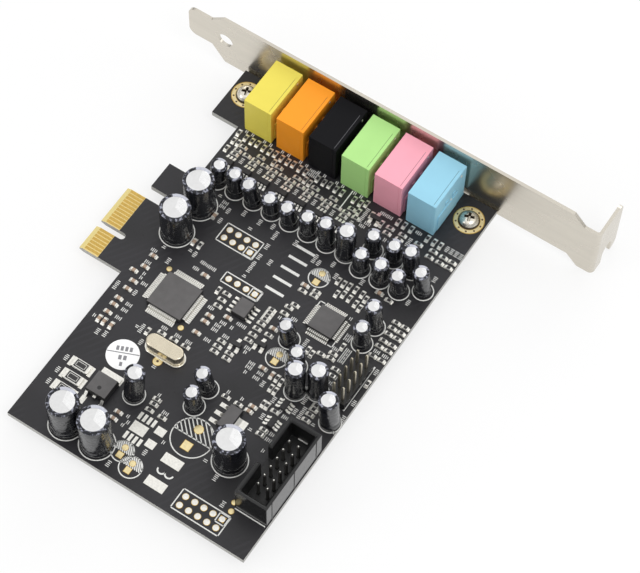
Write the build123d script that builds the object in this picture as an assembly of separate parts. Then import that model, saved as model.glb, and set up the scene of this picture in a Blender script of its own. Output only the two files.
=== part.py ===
from build123d import *
from math import cos, radians, sin
import os

# A sound card for a computer's one-lane edge slot, in millimetres.
# X runs from the slot to the free edge, Y towards the rear bracket, Z out of the component side.
# The origin is where the key slot's centre line meets the outer end of the edge tab, mid board.

# Circuit board: the outline steps in from the edge tab, a guide foot and a bracket foot
BOARD_T = 1.57
BOARD_LEFT = 12.6
BOARD_RIGHT = 79.6
BOARD_NEAR = -53.8
BOARD_FAR = 57.3
TAB_NEAR = -8.15
TAB_FAR = 12.15
TAB_LEAD_IN = 1.2
TAB_LEAD_IN_DEPTH = 0.45
FOOT_LEFT = 4.6
GUIDE_FOOT_NEAR = 15.65
GUIDE_FOOT_FAR = 23.6
BRACKET_FOOT_NEAR = 42.1
KEY_W = 1.9
KEY_DEPTH = 7.8
PIN_HOLE_GAP = 0.1

# Gold edge contacts, on both faces of the tab
CONTACT_PITCH = 1.0
CONTACT_W = 0.7
CONTACT_T = 0.05
CONTACT_START = 1.3
CONTACT_END = 5.4
CONTACTS_FAR = 11
CONTACTS_NEAR = 7
FIRST_CONTACT_FAR = 1.65
FIRST_CONTACT_NEAR = -1.35

# Sheet metal bracket
SHEET = 0.86
BEND_R = 0.5
BEND_LAND = 0.5
BRACKET_GAP = 0.6
BRACKET_W = 18.42
BRACKET_L = 120.2
SCREW_TAB_FACE = 107.05
SCREW_TAB_DEPTH = 11.43
SCREW_TAB_LOW_SHIFT = 3.2
SCREW_TAB_HIGH_SHIFT = 3.4
SCREW_NOTCH_W = 4.42
SCREW_NOTCH_FROM_PLATE = 6.35
SCREW_NOTCH_DEPTH = 5.6
SCREW_TAB_CORNER = 2.0
FLARE_FROM_FACE = 7.7
FLARE_RUN = 3.2
TONGUE_L = 7.0
TONGUE_LOW_SHIFT = 5.0
TONGUE_HIGH_SHIFT = 3.0
TONGUE_SHOULDER = 3.8
TONGUE_CORNER = 2.2
TONGUE_HOLE_D = 4.4
TONGUE_HOLE_FROM_TIP = 11.2
TONGUE_HOLE_RISE = 9.6
EAR_W = 8.4
EAR_REACH = 11.4

# Bracket screws
SCREW_INSET = 4.4
SCREW_FROM_FAR_EDGE = 6.1
SCREW_SHANK_D = 2.8
SCREW_HEAD_D = 5.6
SCREW_HEAD_T = 1.8
SCREW_POINT = 1.6
SCREW_HOLE_GAP = 0.2

# Jacks, one colour each, in a row from the slot side
JACK_COLOURS = ("yellow", "orange", "black", "green", "pink", "blue")
JACK_FROM_SLOT_SCREW = 9.3
JACK_FROM_FAR_SCREW = 9.05
JACK_W = 7.93
JACK_H = 13.0
JACK_L = 14.35
JACK_BACK_GAP = 1.0
JACK_AXIS_H = 6.5
JACK_BORE_D = 3.6
JACK_BORE_DEPTH = 13.5
JACK_NOSE_D = 6.0
JACK_NOSE_PROUD = 0.6
JACK_NOSE_GAP = 0.2
COVER_T = 0.9
COVER_BACK_MARGIN = 1.6
CONTACT_LEAF_T = 0.3
CONTACT_LEAF_W = 1.2
CONTACT_LEAF_H = 4.1
CONTACT_LEAVES_FROM_FRONT = (3.0, 6.5, 10.0)
CHAMBER_MARGIN = 0.3
PIN_TAIL = 1.4

# Radial capacitors: every one is (x, y, height, lean in degrees towards the slot edge), drawn with flats
CAP_LEAN_X = -0.83
CAP_LEAN_Y = -0.56
CAP_SIDES = 16
LARGE_CAP_D = 8.0
MEDIUM_CAP_D = 5.0
SMALL_CAP_D = 4.2
CHANNEL_X = 17.4
CHANNEL_ROW_END = 55.2
CHANNEL_CAP_FROM_JACKS = 16.55
CHANNEL_CAPS = ((7.6, -5), (8.4, 0), (8.2, 8), (6.6, 4), (7.2, 6), (8.0, 2), (10.0, 2))
CHANNEL_PITCH = (CHANNEL_ROW_END - CHANNEL_X) / len(CHANNEL_CAPS)
LARGE_CAPS = (
    (17.5, 8.4, 12.0, 0),
    (17.9, 17.7, 12.2, 0),
    (25.9, -48.5, 12.0, 0),
    (34.8, -48.6, 12.8, 0),
    (63.0, -35.0, 11.8, 0),
)
MEDIUM_CAPS = (
    (CHANNEL_ROW_END, 26.3, 11.2, 0),
    (65.6, -11.6, 11.6, 0),
    (70.2, -8.8, 11.2, 0),
    (34.6, -33.5, 11.4, -4),
    (77.0, -13.9, 11.8, 3),
)
OTHER_SMALL_CAPS = (
    (60.4, 24.7, 7.4, 0),
    (60.1, 30.8, 7.4, 0),
    (66.0, 24.8, 7.8, 0),
    (65.7, 31.4, 7.0, 0),
    (71.5, 24.8, 7.4, 5),
    (71.2, 31.2, 9.6, 4),
    (76.4, 28.0, 9.2, 6),
    (71.9, 13.3, 10.3, 3),
    (71.9, 7.8, 8.4, 2),
    (56.9, -1.0, 7.4, 7),
    (62.3, -6.0, 7.6, 0),
    (48.2, -22.6, 8.0, 8),
    (48.1, -28.1, 7.4, 3),
)

# Moulded chips: draft of the body, lead strip and the gap under the body
DRAFT = 10
CHIP_STAND = 0.1
LEAD_T = 0.15
MAIN_CHIP = (27.7, -7.0)
MAIN_CHIP_SIDE = 10.0
CODEC = (61.95, 7.5)
CODEC_SIDE = 7.0
QUAD_H = 1.5
MEMORY_CHIP = (43.2, -0.5)
MEMORY_W = 3.9
MEMORY_L = 4.9
MEMORY_H = 1.5
MEMORY_PITCH = 1.27
MEMORY_LEAD_COUNT = 4
MEMORY_LEAD_W = 0.42
MEMORY_LEAD_REACH = 1.05
MEMORY_LEAD_FOOT = 0.6

# Six-legged mute packs: one beside every channel's capacitor, and two turned ones by the box header
PACK_L = 2.9
PACK_W = 1.6
PACK_H = 1.1
PACK_FROM_CHANNEL = -0.9
PACK_FROM_JACKS = 10.65
TURNED_PACKS = ((65.85, -16.2), (65.85, -21.65))

# Three-legged transistors
TRANSISTORS = ((47.2, -9.3), (52.05, -6.0), (56.0, 38.7))
TRANSISTOR_L = 2.9
TRANSISTOR_W = 1.3

# Two voltage regulators, the large one with a heat tab under its body
REGULATOR = (27.5, -36.4)
REGULATOR_W = 5.8
REGULATOR_L = 5.8
REGULATOR_H = 2.3
REGULATOR_TAB_W = 5.4
REGULATOR_TAB_T = 0.5
REGULATOR_TAB_REACH = 1.6
REGULATOR_TAB_UNDER = 1.5
REGULATOR_LEG_PITCH = 2.3
REGULATOR_LEG_W = 0.8
REGULATOR_LEG_REACH = 2.4
REGULATOR_LEG_FOOT = 1.3
SMALL_REGULATOR = (57.1, -26.4)
SMALL_REGULATOR_W = 3.5
SMALL_REGULATOR_L = 6.5
SMALL_REGULATOR_H = 1.6
SMALL_REGULATOR_PITCH = 2.3
SMALL_REGULATOR_LEG_W = 0.7
SMALL_REGULATOR_TAB_W = 3.0
SMALL_REGULATOR_REACH = 1.7
SMALL_REGULATOR_FOOT = 0.9

# Crystal: a round-ended can soldered on its base
CRYSTAL = (34.4, -20.4)
CRYSTAL_BASE_L = 11.1
CRYSTAL_BASE_W = 4.7
CRYSTAL_BASE_T = 0.6
CRYSTAL_RIM = 0.45
CRYSTAL_H = 3.6

# Shrouded header with its key gap, and the open pin header
HEADER_PITCH = 2.54
PIN = 0.64
PIN_POINT = 0.5
PIN_POINT_TAPER = 20
SHROUD = (75.0, -32.6)
SHROUD_ROWS = 6
SHROUD_W = 8.85
SHROUD_END = 5.08
SHROUD_H = 9.1
SHROUD_WALL = 1.2
SHROUD_FLOOR = 2.4
SHROUD_KEY_W = 4.5
SHROUD_PIN_H = 8.1
OPEN_HEADER = (75.45, -3.1)
OPEN_HEADER_ROWS = 5
OPEN_HEADER_BASE_T = 2.5
OPEN_HEADER_PIN_H = 8.5

# Chip resistors and chip capacitors
CHIP_L = 1.6
CHIP_W = 0.8
CHIP_T = 0.45
POWER_RESISTORS = ((19.9, -34.4), (20.1, -38.0), (20.1, -41.6))
POWER_RESISTOR_L = 5.0
POWER_RESISTOR_W = 2.5
POWER_RESISTOR_T = 0.6
POWER_TERMINAL_L = 0.7
# Parts that repeat in every channel: (x from the channel, distance in front of the jacks, turned)
CHANNEL_CHIPS = (
    (-1.2, 2.25, True),
    (0.65, 2.25, True),
    (-0.2, 4.85, False),
    (-0.8, 6.45, False),
    (2.0, 6.45, False),
    (-0.9, 7.75, False),
)
# The column of chip capacitors along the slot edge: (x, y), and the three turned ones at its end
EDGE_CHIPS = (
    (16.7, -0.3),
    (16.7, -3.9),
    (15.0, -6.2),
    (16.7, -8.7),
    (16.7, -11.2),
    (16.5, -14.5),
    (16.5, -16.5),
    (16.5, -19.0),
)
TURNED_EDGE_CHIPS = (
    (15.8, -21.6),
    (17.3, -21.6),
    (19.3, -21.6),
)

# Levels and planes that several pieces share
TOP = BOARD_T / 2
BOTTOM = -BOARD_T / 2
PLATE_IN = BOARD_FAR + BRACKET_GAP
PLATE_OUT = PLATE_IN + SHEET
PLATE_LOW = BOTTOM - SHEET
PLATE_HIGH = PLATE_LOW + BRACKET_W
JACK_AXIS_Z = TOP + JACK_AXIS_H
JACK_BACK = PLATE_IN - JACK_BACK_GAP
JACK_FRONT = JACK_BACK - JACK_L
SCREW_XS = (FOOT_LEFT + SCREW_INSET, BOARD_RIGHT - SCREW_INSET)
SCREW_Y = BOARD_FAR - SCREW_FROM_FAR_EDGE
JACK_FIRST_X = SCREW_XS[0] + JACK_FROM_SLOT_SCREW
JACK_LAST_X = SCREW_XS[1] - JACK_FROM_FAR_SCREW
JACK_PITCH = (JACK_LAST_X - JACK_FIRST_X) / (len(JACK_COLOURS) - 1)
JACK_XS = [JACK_FIRST_X + JACK_PITCH * i for i in range(len(JACK_COLOURS))]
ON_BOARD = (Align.CENTER, Align.CENTER, Align.MIN)
UNDER_BOARD = (Align.CENTER, Align.CENTER, Align.MAX)


def block(x_span, y_span, z_span):
    """A box between two values on each axis."""
    spans = (x_span, y_span, z_span)
    sizes = [high - low for low, high in spans]
    middles = [(high + low) / 2 for low, high in spans]
    return Pos(*middles) * Box(*sizes)


def rod_along_y(x, z, y_start, y_end, diameter):
    """A cylinder whose axis runs along Y."""
    rod = Cylinder(diameter / 2, y_end - y_start)
    return Pos(x, (y_start + y_end) / 2, z) * Rot(X=90) * rod


def centred(count, pitch):
    """Positions of evenly spaced things about zero."""
    return [(i - (count - 1) / 2) * pitch for i in range(count)]


# Where contacts and pins pass through the board
def jack_leaf_places():
    """The foot of every contact leaf, in a row under each jack's bore."""
    return [(x, JACK_FRONT + from_front) for x in JACK_XS for from_front in CONTACT_LEAVES_FROM_FRONT]


def header_pin_places(middle, rows):
    """The pins of a two-column header about its middle."""
    places = []
    for dx in centred(2, HEADER_PITCH):
        for dy in centred(rows, HEADER_PITCH):
            places.append((middle[0] + dx, middle[1] + dy))
    return places


def circuit_board():
    outline = [
        (0, TAB_NEAR),
        (0, TAB_FAR),
        (BOARD_LEFT, TAB_FAR),
        (BOARD_LEFT, GUIDE_FOOT_NEAR),
        (FOOT_LEFT, GUIDE_FOOT_NEAR),
        (FOOT_LEFT, GUIDE_FOOT_FAR),
        (BOARD_LEFT, GUIDE_FOOT_FAR),
        (BOARD_LEFT, BRACKET_FOOT_NEAR),
        (FOOT_LEFT, BRACKET_FOOT_NEAR),
        (FOOT_LEFT, BOARD_FAR),
        (BOARD_RIGHT, BOARD_FAR),
        (BOARD_RIGHT, BOARD_NEAR),
        (BOARD_LEFT, BOARD_NEAR),
        (BOARD_LEFT, TAB_NEAR),
    ]
    face = Polygon(*outline, align=None)
    holes = [Pos(KEY_DEPTH / 2 - KEY_W / 2, 0) * SlotOverall(KEY_DEPTH + KEY_W, KEY_W)]
    screw_hole = Circle(SCREW_SHANK_D / 2 + SCREW_HOLE_GAP)
    holes += [Pos(x, SCREW_Y) * screw_hole for x in SCREW_XS]
    pin_hole = Rectangle(PIN + 2 * PIN_HOLE_GAP, PIN + 2 * PIN_HOLE_GAP)
    pins = header_pin_places(SHROUD, SHROUD_ROWS) + header_pin_places(OPEN_HEADER, OPEN_HEADER_ROWS)
    holes += [Pos(*place) * pin_hole for place in pins]
    leaf_hole = Rectangle(CONTACT_LEAF_W + 2 * PIN_HOLE_GAP, CONTACT_LEAF_T + 2 * PIN_HOLE_GAP)
    holes += [Pos(*place) * leaf_hole for place in jack_leaf_places()]
    board = Pos(0, 0, BOTTOM) * extrude(face - holes, BOARD_T, dir=(0, 0, 1))
    corner = Polygon((0, TOP), (TAB_LEAD_IN, TOP), (0, TOP - TAB_LEAD_IN_DEPTH), align=None)
    lead_in = Pos(0, TAB_NEAR, 0) * extrude(Plane.XZ * corner, TAB_FAR - TAB_NEAR, dir=(0, 1, 0))
    return board - lead_in - mirror(lead_in, about=Plane.XY)


def edge_contacts():
    contact = Box(CONTACT_END - CONTACT_START, CONTACT_W, CONTACT_T)
    far = [FIRST_CONTACT_FAR + CONTACT_PITCH * i for i in range(CONTACTS_FAR)]
    near = [FIRST_CONTACT_NEAR - CONTACT_PITCH * i for i in range(CONTACTS_NEAR)]
    middle = (CONTACT_START + CONTACT_END) / 2
    height = TOP + CONTACT_T / 2
    return [Pos(middle, y, side * height) * contact for y in far + near for side in (-1, 1)]


def bracket():
    tip = SCREW_TAB_FACE - BRACKET_L
    tongue_low = PLATE_LOW + TONGUE_LOW_SHIFT
    tongue_high = PLATE_HIGH - TONGUE_HIGH_SHIFT
    tongue_end = tip + TONGUE_L
    shoulder_end = tongue_end + TONGUE_SHOULDER
    flare_start = SCREW_TAB_FACE - FLARE_FROM_FACE
    flare_end = flare_start + FLARE_RUN
    tab_low = PLATE_LOW - SCREW_TAB_LOW_SHIFT
    tab_high = PLATE_HIGH - SCREW_TAB_HIGH_SHIFT
    bend_start = SCREW_TAB_FACE - SHEET - BEND_R - BEND_LAND
    outline = [
        (tip, tongue_low),
        (tongue_end, tongue_low),
        (shoulder_end, PLATE_LOW),
        (flare_start, PLATE_LOW),
        (flare_end, tab_low),
        (bend_start, tab_low),
        (bend_start, tab_high),
        (flare_end, tab_high),
        (flare_start, PLATE_HIGH),
        (shoulder_end, PLATE_HIGH),
        (tongue_end, tongue_high),
        (tip, tongue_high),
    ]
    face = Polygon(*outline, align=None)
    face = fillet(face.vertices().group_by(Axis.X)[0], TONGUE_CORNER)
    hole_at = (tip + TONGUE_HOLE_FROM_TIP, PLATE_LOW + TONGUE_HOLE_RISE)
    face -= Pos(*hole_at) * Circle(TONGUE_HOLE_D / 2)
    for x in JACK_XS:
        face -= Pos(x, JACK_AXIS_Z) * Circle(JACK_NOSE_D / 2 + JACK_NOSE_GAP)
    bend_zone = BEND_R + SHEET + BEND_LAND
    for x in SCREW_XS:
        face -= Pos(x, PLATE_LOW + bend_zone / 2) * Rectangle(EAR_W, bend_zone)
    plate = Pos(0, PLATE_IN, 0) * extrude(Plane.XZ * face, SHEET, dir=(0, 1, 0))
    shape = plate + screw_tab(bend_start, tab_low, tab_high)
    for x in SCREW_XS:
        shape += ear(x)
    return shape


def screw_tab(bend_start, low, high):
    """The end that folds outwards and takes the chassis screw in an open notch."""
    tab_end = PLATE_IN + SCREW_TAB_DEPTH
    corner_out = (SCREW_TAB_FACE, PLATE_IN)
    corner_in = (SCREW_TAB_FACE - SHEET, PLATE_OUT)
    outline = [
        (bend_start, PLATE_IN),
        corner_out,
        (SCREW_TAB_FACE, tab_end),
        (SCREW_TAB_FACE - SHEET, tab_end),
        corner_in,
        (bend_start, PLATE_OUT),
    ]
    face = Polygon(*outline, align=None)
    face = fillet(face.vertices().sort_by_distance(corner_out)[0], BEND_R + SHEET)
    face = fillet(face.vertices().sort_by_distance(corner_in)[0], BEND_R)
    tab = Pos(0, 0, low) * extrude(face, high - low, dir=(0, 0, 1))
    end_corners = tab.edges().filter_by(Axis.X).group_by(Axis.Y)[-1]
    tab = fillet(end_corners, SCREW_TAB_CORNER)
    notch_y = PLATE_IN + SCREW_NOTCH_FROM_PLATE
    notch = SlotOverall(2 * SCREW_NOTCH_DEPTH, SCREW_NOTCH_W, rotation=90)
    cutter = extrude(Plane.YZ * Pos(notch_y, low) * notch, SCREW_TAB_FACE + SHEET)
    return tab - cutter


def ear(x):
    """A lug folded under the board, where a bracket screw bites."""
    ear_end = PLATE_IN - EAR_REACH
    bend_top = PLATE_LOW + SHEET + BEND_R + BEND_LAND
    corner_out = (PLATE_OUT, PLATE_LOW)
    corner_in = (PLATE_IN, PLATE_LOW + SHEET)
    outline = [
        (ear_end, PLATE_LOW),
        corner_out,
        (PLATE_OUT, bend_top),
        (PLATE_IN, bend_top),
        corner_in,
        (ear_end, PLATE_LOW + SHEET),
    ]
    face = Polygon(*outline, align=None)
    face = fillet(face.vertices().sort_by_distance(corner_out)[0], BEND_R + SHEET)
    face = fillet(face.vertices().sort_by_distance(corner_in)[0], BEND_R)
    lug = Pos(x - EAR_W / 2, 0, 0) * extrude(Plane.YZ * face, EAR_W, dir=(1, 0, 0))
    hole = Pos(x, SCREW_Y, PLATE_LOW) * Cylinder(SCREW_SHANK_D / 2 + SCREW_HOLE_GAP / 2, 4 * SHEET)
    return lug - hole


def bracket_screws():
    shank_l = BOARD_T + SHEET + SCREW_POINT
    shank = Cylinder(SCREW_SHANK_D / 2, shank_l, align=UNDER_BOARD)
    head = Cylinder(SCREW_HEAD_D / 2, SCREW_HEAD_T, align=ON_BOARD)
    return [Pos(x, SCREW_Y, TOP) * (head + shank) for x in SCREW_XS]


def jack_cover(x):
    """The side cover of a jack, which runs from the front to short of the back."""
    right = x + JACK_W / 2
    return block((right - COVER_T, right), (JACK_FRONT, JACK_BACK - COVER_BACK_MARGIN), (TOP, TOP + JACK_H))


def jack_housing(x):
    body = block((x - JACK_W / 2, x + JACK_W / 2), (JACK_FRONT, JACK_BACK), (TOP, TOP + JACK_H))
    nose_end = PLATE_OUT + JACK_NOSE_PROUD
    body += rod_along_y(x, JACK_AXIS_Z, JACK_BACK, nose_end, JACK_NOSE_D)
    body -= rod_along_y(x, JACK_AXIS_Z, nose_end - JACK_BORE_DEPTH, nose_end, JACK_BORE_D)
    body -= jack_cover(x)
    half_w = CONTACT_LEAF_W / 2 + CHAMBER_MARGIN
    near = JACK_FRONT + min(CONTACT_LEAVES_FROM_FRONT) - CONTACT_LEAF_T / 2 - CHAMBER_MARGIN
    far = JACK_FRONT + max(CONTACT_LEAVES_FROM_FRONT) + CONTACT_LEAF_T / 2 + CHAMBER_MARGIN
    body -= block((x - half_w, x + half_w), (near, far), (TOP, TOP + CONTACT_LEAF_H + CHAMBER_MARGIN))
    return body


def jack_contacts():
    """Strips that stand in the chamber under a jack's bore and end in solder tails."""
    low = BOTTOM - PIN_TAIL
    leaf = Box(CONTACT_LEAF_W, CONTACT_LEAF_T, TOP + CONTACT_LEAF_H - low, align=ON_BOARD)
    return [Pos(x, y, low) * leaf for x, y in jack_leaf_places()]


# Capacitors
def small_caps():
    """The channel row and the rest of the small capacitors."""
    row = []
    for i, (height, lean) in enumerate(CHANNEL_CAPS):
        row.append((CHANNEL_X + CHANNEL_PITCH * i, JACK_FRONT - CHANNEL_CAP_FROM_JACKS, height, lean))
    return row + list(OTHER_SMALL_CAPS)


def cap_seat(cap, diameter):
    """The plane a capacitor stands on, tipped about its low edge when it leans."""
    x, y, _, lean = cap
    tip = sin(radians(lean))
    rise = TOP + abs(tip) * diameter / 2
    return Plane((x, y, rise), z_dir=(CAP_LEAN_X * tip, CAP_LEAN_Y * tip, cos(radians(lean))))


def capacitors(caps, diameter):
    bodies = []
    for cap in caps:
        body = extrude(RegularPolygon(diameter / 2, CAP_SIDES), cap[2])
        bodies.append(cap_seat(cap, diameter) * body)
    return bodies


# Chips
def moulded_body(place, length_x, length_y, height, stand=CHIP_STAND):
    """A moulded body with draft away from its parting line at half height."""
    half = extrude(Rectangle(length_x, length_y), (height - stand) / 2, taper=DRAFT)
    body = half + mirror(half, about=Plane.XY)
    return Pos(place[0], place[1], TOP + (height + stand) / 2) * body


def gull_lead(height, reach, foot, width):
    """A bent lead from a body's side at its parting line down to the board."""
    middle = (height + CHIP_STAND) / 2
    knee = reach - foot
    outline = [
        (0, middle - LEAD_T / 2),
        (0, middle + LEAD_T / 2),
        (knee + LEAD_T, LEAD_T),
        (reach, LEAD_T),
        (reach, 0),
        (knee, 0),
    ]
    return extrude(Plane.XZ * Polygon(*outline, align=None), width / 2, both=True)


def lead_rows(place, half_width, count, pitch, lead, turns):
    """Rows of one lead on the sides of a body that the turns name."""
    leads = []
    for turn in turns:
        for offset in centred(count, pitch):
            leads.append(Pos(place[0], place[1], TOP) * Rot(Z=turn) * Pos(half_width, offset, 0) * lead)
    return leads


def memory_leads():
    lead = gull_lead(MEMORY_H, MEMORY_LEAD_REACH, MEMORY_LEAD_FOOT, MEMORY_LEAD_W)
    return lead_rows(MEMORY_CHIP, MEMORY_W / 2, MEMORY_LEAD_COUNT, MEMORY_PITCH, lead, (0, 180))


def pack_places():
    """Every six-legged pack: x, y and whether it is turned."""
    row = []
    for i in range(len(CHANNEL_CAPS)):
        row.append((CHANNEL_X + CHANNEL_PITCH * i + PACK_FROM_CHANNEL, JACK_FRONT - PACK_FROM_JACKS, False))
    return row + [(x, y, True) for x, y in TURNED_PACKS]


def pack_bodies():
    bodies = []
    for x, y, turned in pack_places():
        sizes = (PACK_W, PACK_L) if turned else (PACK_L, PACK_W)
        bodies.append(moulded_body((x, y), *sizes, PACK_H))
    return bodies


def transistor_bodies():
    return [moulded_body(place, TRANSISTOR_L, TRANSISTOR_W, PACK_H) for place in TRANSISTORS]


def regulator_body():
    x, y = REGULATOR
    body = moulded_body((x, y), REGULATOR_W, REGULATOR_L, REGULATOR_H, stand=0)
    return body - regulator_tab()


def regulator_tab():
    x, y = REGULATOR
    far = y + REGULATOR_L / 2 + REGULATOR_TAB_REACH
    half = REGULATOR_TAB_W / 2
    return block((x - half, x + half), (y - REGULATOR_TAB_UNDER, far), (TOP, TOP + REGULATOR_TAB_T))


def regulator_legs():
    lead = gull_lead(REGULATOR_H, REGULATOR_LEG_REACH, REGULATOR_LEG_FOOT, REGULATOR_LEG_W)
    return lead_rows(REGULATOR, REGULATOR_L / 2, 2, 2 * REGULATOR_LEG_PITCH, lead, (270,))


def small_regulator_leads():
    sizes = (SMALL_REGULATOR_H, SMALL_REGULATOR_REACH, SMALL_REGULATOR_FOOT)
    leg = gull_lead(*sizes, SMALL_REGULATOR_LEG_W)
    tab = gull_lead(*sizes, SMALL_REGULATOR_TAB_W)
    half = SMALL_REGULATOR_W / 2
    legs = lead_rows(SMALL_REGULATOR, half, 3, SMALL_REGULATOR_PITCH, leg, (180,))
    return legs + lead_rows(SMALL_REGULATOR, half, 1, SMALL_REGULATOR_PITCH, tab, (0,))


# Crystal
def crystal_base():
    base = extrude(SlotOverall(CRYSTAL_BASE_L, CRYSTAL_BASE_W), CRYSTAL_BASE_T)
    return Pos(*CRYSTAL, TOP) * base


def crystal_can():
    slot = SlotOverall(CRYSTAL_BASE_L - 2 * CRYSTAL_RIM, CRYSTAL_BASE_W - 2 * CRYSTAL_RIM)
    can = extrude(slot, CRYSTAL_H - CRYSTAL_BASE_T)
    return Pos(*CRYSTAL, TOP + CRYSTAL_BASE_T) * can


# Headers
def header_pins(middle, rows, height):
    """Square pins with drawn points, cut off under the board."""
    section = Rectangle(PIN, PIN)
    pin = extrude(section, height - PIN_POINT) + extrude(section, -BOARD_T - PIN_TAIL)
    pin += Pos(0, 0, height - PIN_POINT) * extrude(section, PIN_POINT, taper=PIN_POINT_TAPER)
    return [Pos(x, y, TOP) * pin for x, y in header_pin_places(middle, rows)]


def shroud():
    x, y = SHROUD
    length = (SHROUD_ROWS - 1) * HEADER_PITCH + 2 * SHROUD_END
    box = Box(SHROUD_W, length, SHROUD_H, align=ON_BOARD)
    inside = Box(SHROUD_W - 2 * SHROUD_WALL, length - 2 * SHROUD_WALL, SHROUD_H, align=ON_BOARD)
    box -= Pos(0, 0, SHROUD_FLOOR) * inside
    key = Box(SHROUD_W, SHROUD_KEY_W, SHROUD_H, align=ON_BOARD)
    box -= Pos(-SHROUD_W / 2, 0, SHROUD_FLOOR) * key
    body = Pos(x, y, TOP) * box
    return body - pin_passages(SHROUD, SHROUD_ROWS, SHROUD_FLOOR)


def pin_passages(middle, rows, depth):
    """Square holes for the pins through a header's plastic."""
    hole = Box(PIN, PIN, 2 * depth)
    return [Pos(x, y, TOP + depth) * hole for x, y in header_pin_places(middle, rows)]


def open_header_base():
    x, y = OPEN_HEADER
    length = OPEN_HEADER_ROWS * HEADER_PITCH
    base = Pos(x, y, TOP) * Box(2 * HEADER_PITCH, length, OPEN_HEADER_BASE_T, align=ON_BOARD)
    return base - pin_passages(OPEN_HEADER, OPEN_HEADER_ROWS, OPEN_HEADER_BASE_T)


# Chip resistors and capacitors
def chips(places, turned):
    sizes = (CHIP_W, CHIP_L) if turned else (CHIP_L, CHIP_W)
    return [Pos(x, y, TOP) * Box(*sizes, CHIP_T, align=ON_BOARD) for x, y in places]


def channel_chip_places(turned):
    places = []
    for i in range(len(CHANNEL_CAPS)):
        for dx, from_jacks, is_turned in CHANNEL_CHIPS:
            if is_turned == turned:
                places.append((CHANNEL_X + CHANNEL_PITCH * i + dx, JACK_FRONT - from_jacks))
    return places


def channel_chips():
    return chips(channel_chip_places(False), False) + chips(channel_chip_places(True), True)


def power_resistors():
    length = POWER_RESISTOR_L - 2 * POWER_TERMINAL_L
    body = Box(length, POWER_RESISTOR_W, POWER_RESISTOR_T, align=ON_BOARD)
    return [Pos(x, y, TOP) * body for x, y in POWER_RESISTORS]


def power_resistor_terminals():
    terminal = Box(POWER_TERMINAL_L, POWER_RESISTOR_W, POWER_RESISTOR_T, align=ON_BOARD)
    offset = (POWER_RESISTOR_L - POWER_TERMINAL_L) / 2
    return [Pos(x + side * offset, y, TOP) * terminal for x, y in POWER_RESISTORS for side in (-1, 1)]


def pieces():
    """Every node's name with its solid or solids."""
    nodes = {
        "circuit_board": circuit_board(),
        "edge_contacts": edge_contacts(),
        "bracket": bracket(),
        "bracket_screws": bracket_screws(),
        "jack_contacts": jack_contacts(),
        "large_capacitors": capacitors(LARGE_CAPS, LARGE_CAP_D),
        "medium_capacitors": capacitors(MEDIUM_CAPS, MEDIUM_CAP_D),
        "small_capacitors": capacitors(small_caps(), SMALL_CAP_D),
        "main_chip": moulded_body(MAIN_CHIP, MAIN_CHIP_SIDE, MAIN_CHIP_SIDE, QUAD_H),
        "codec_chip": moulded_body(CODEC, CODEC_SIDE, CODEC_SIDE, QUAD_H),
        "memory_chip": moulded_body(MEMORY_CHIP, MEMORY_W, MEMORY_L, MEMORY_H),
        "memory_chip_leads": memory_leads(),
        "mute_packs": pack_bodies(),
        "transistors": transistor_bodies(),
        "regulator": regulator_body(),
        "regulator_tab": regulator_tab(),
        "regulator_legs": regulator_legs(),
        "small_regulator": moulded_body(
            SMALL_REGULATOR, SMALL_REGULATOR_W, SMALL_REGULATOR_L, SMALL_REGULATOR_H
        ),
        "small_regulator_leads": small_regulator_leads(),
        "crystal_base": crystal_base(),
        "crystal_can": crystal_can(),
        "box_header_shroud": shroud(),
        "box_header_pins": header_pins(SHROUD, SHROUD_ROWS, SHROUD_PIN_H),
        "pin_header_base": open_header_base(),
        "pin_header_pins": header_pins(OPEN_HEADER, OPEN_HEADER_ROWS, OPEN_HEADER_PIN_H),
        "power_resistors": power_resistors(),
        "power_resistor_terminals": power_resistor_terminals(),
        "channel_chips": channel_chips(),
        "edge_chips": chips(EDGE_CHIPS, False) + chips(TURNED_EDGE_CHIPS, True),
    }
    for colour, x in zip(JACK_COLOURS, JACK_XS):
        nodes[f"{colour}_jack"] = jack_housing(x)
        nodes[f"{colour}_jack_cover"] = jack_cover(x)
    return nodes


os.makedirs("parts", exist_ok=True)
for name, shape in pieces().items():
    if isinstance(shape, list):
        shape = Compound(children=shape)
    export_step(shape, f"parts/{name}.step")
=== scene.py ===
import math
from collections import namedtuple

import bmesh
import bpy
from bpy.props import FloatProperty, FloatVectorProperty, PointerProperty
from mathutils import Matrix, Vector


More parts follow.
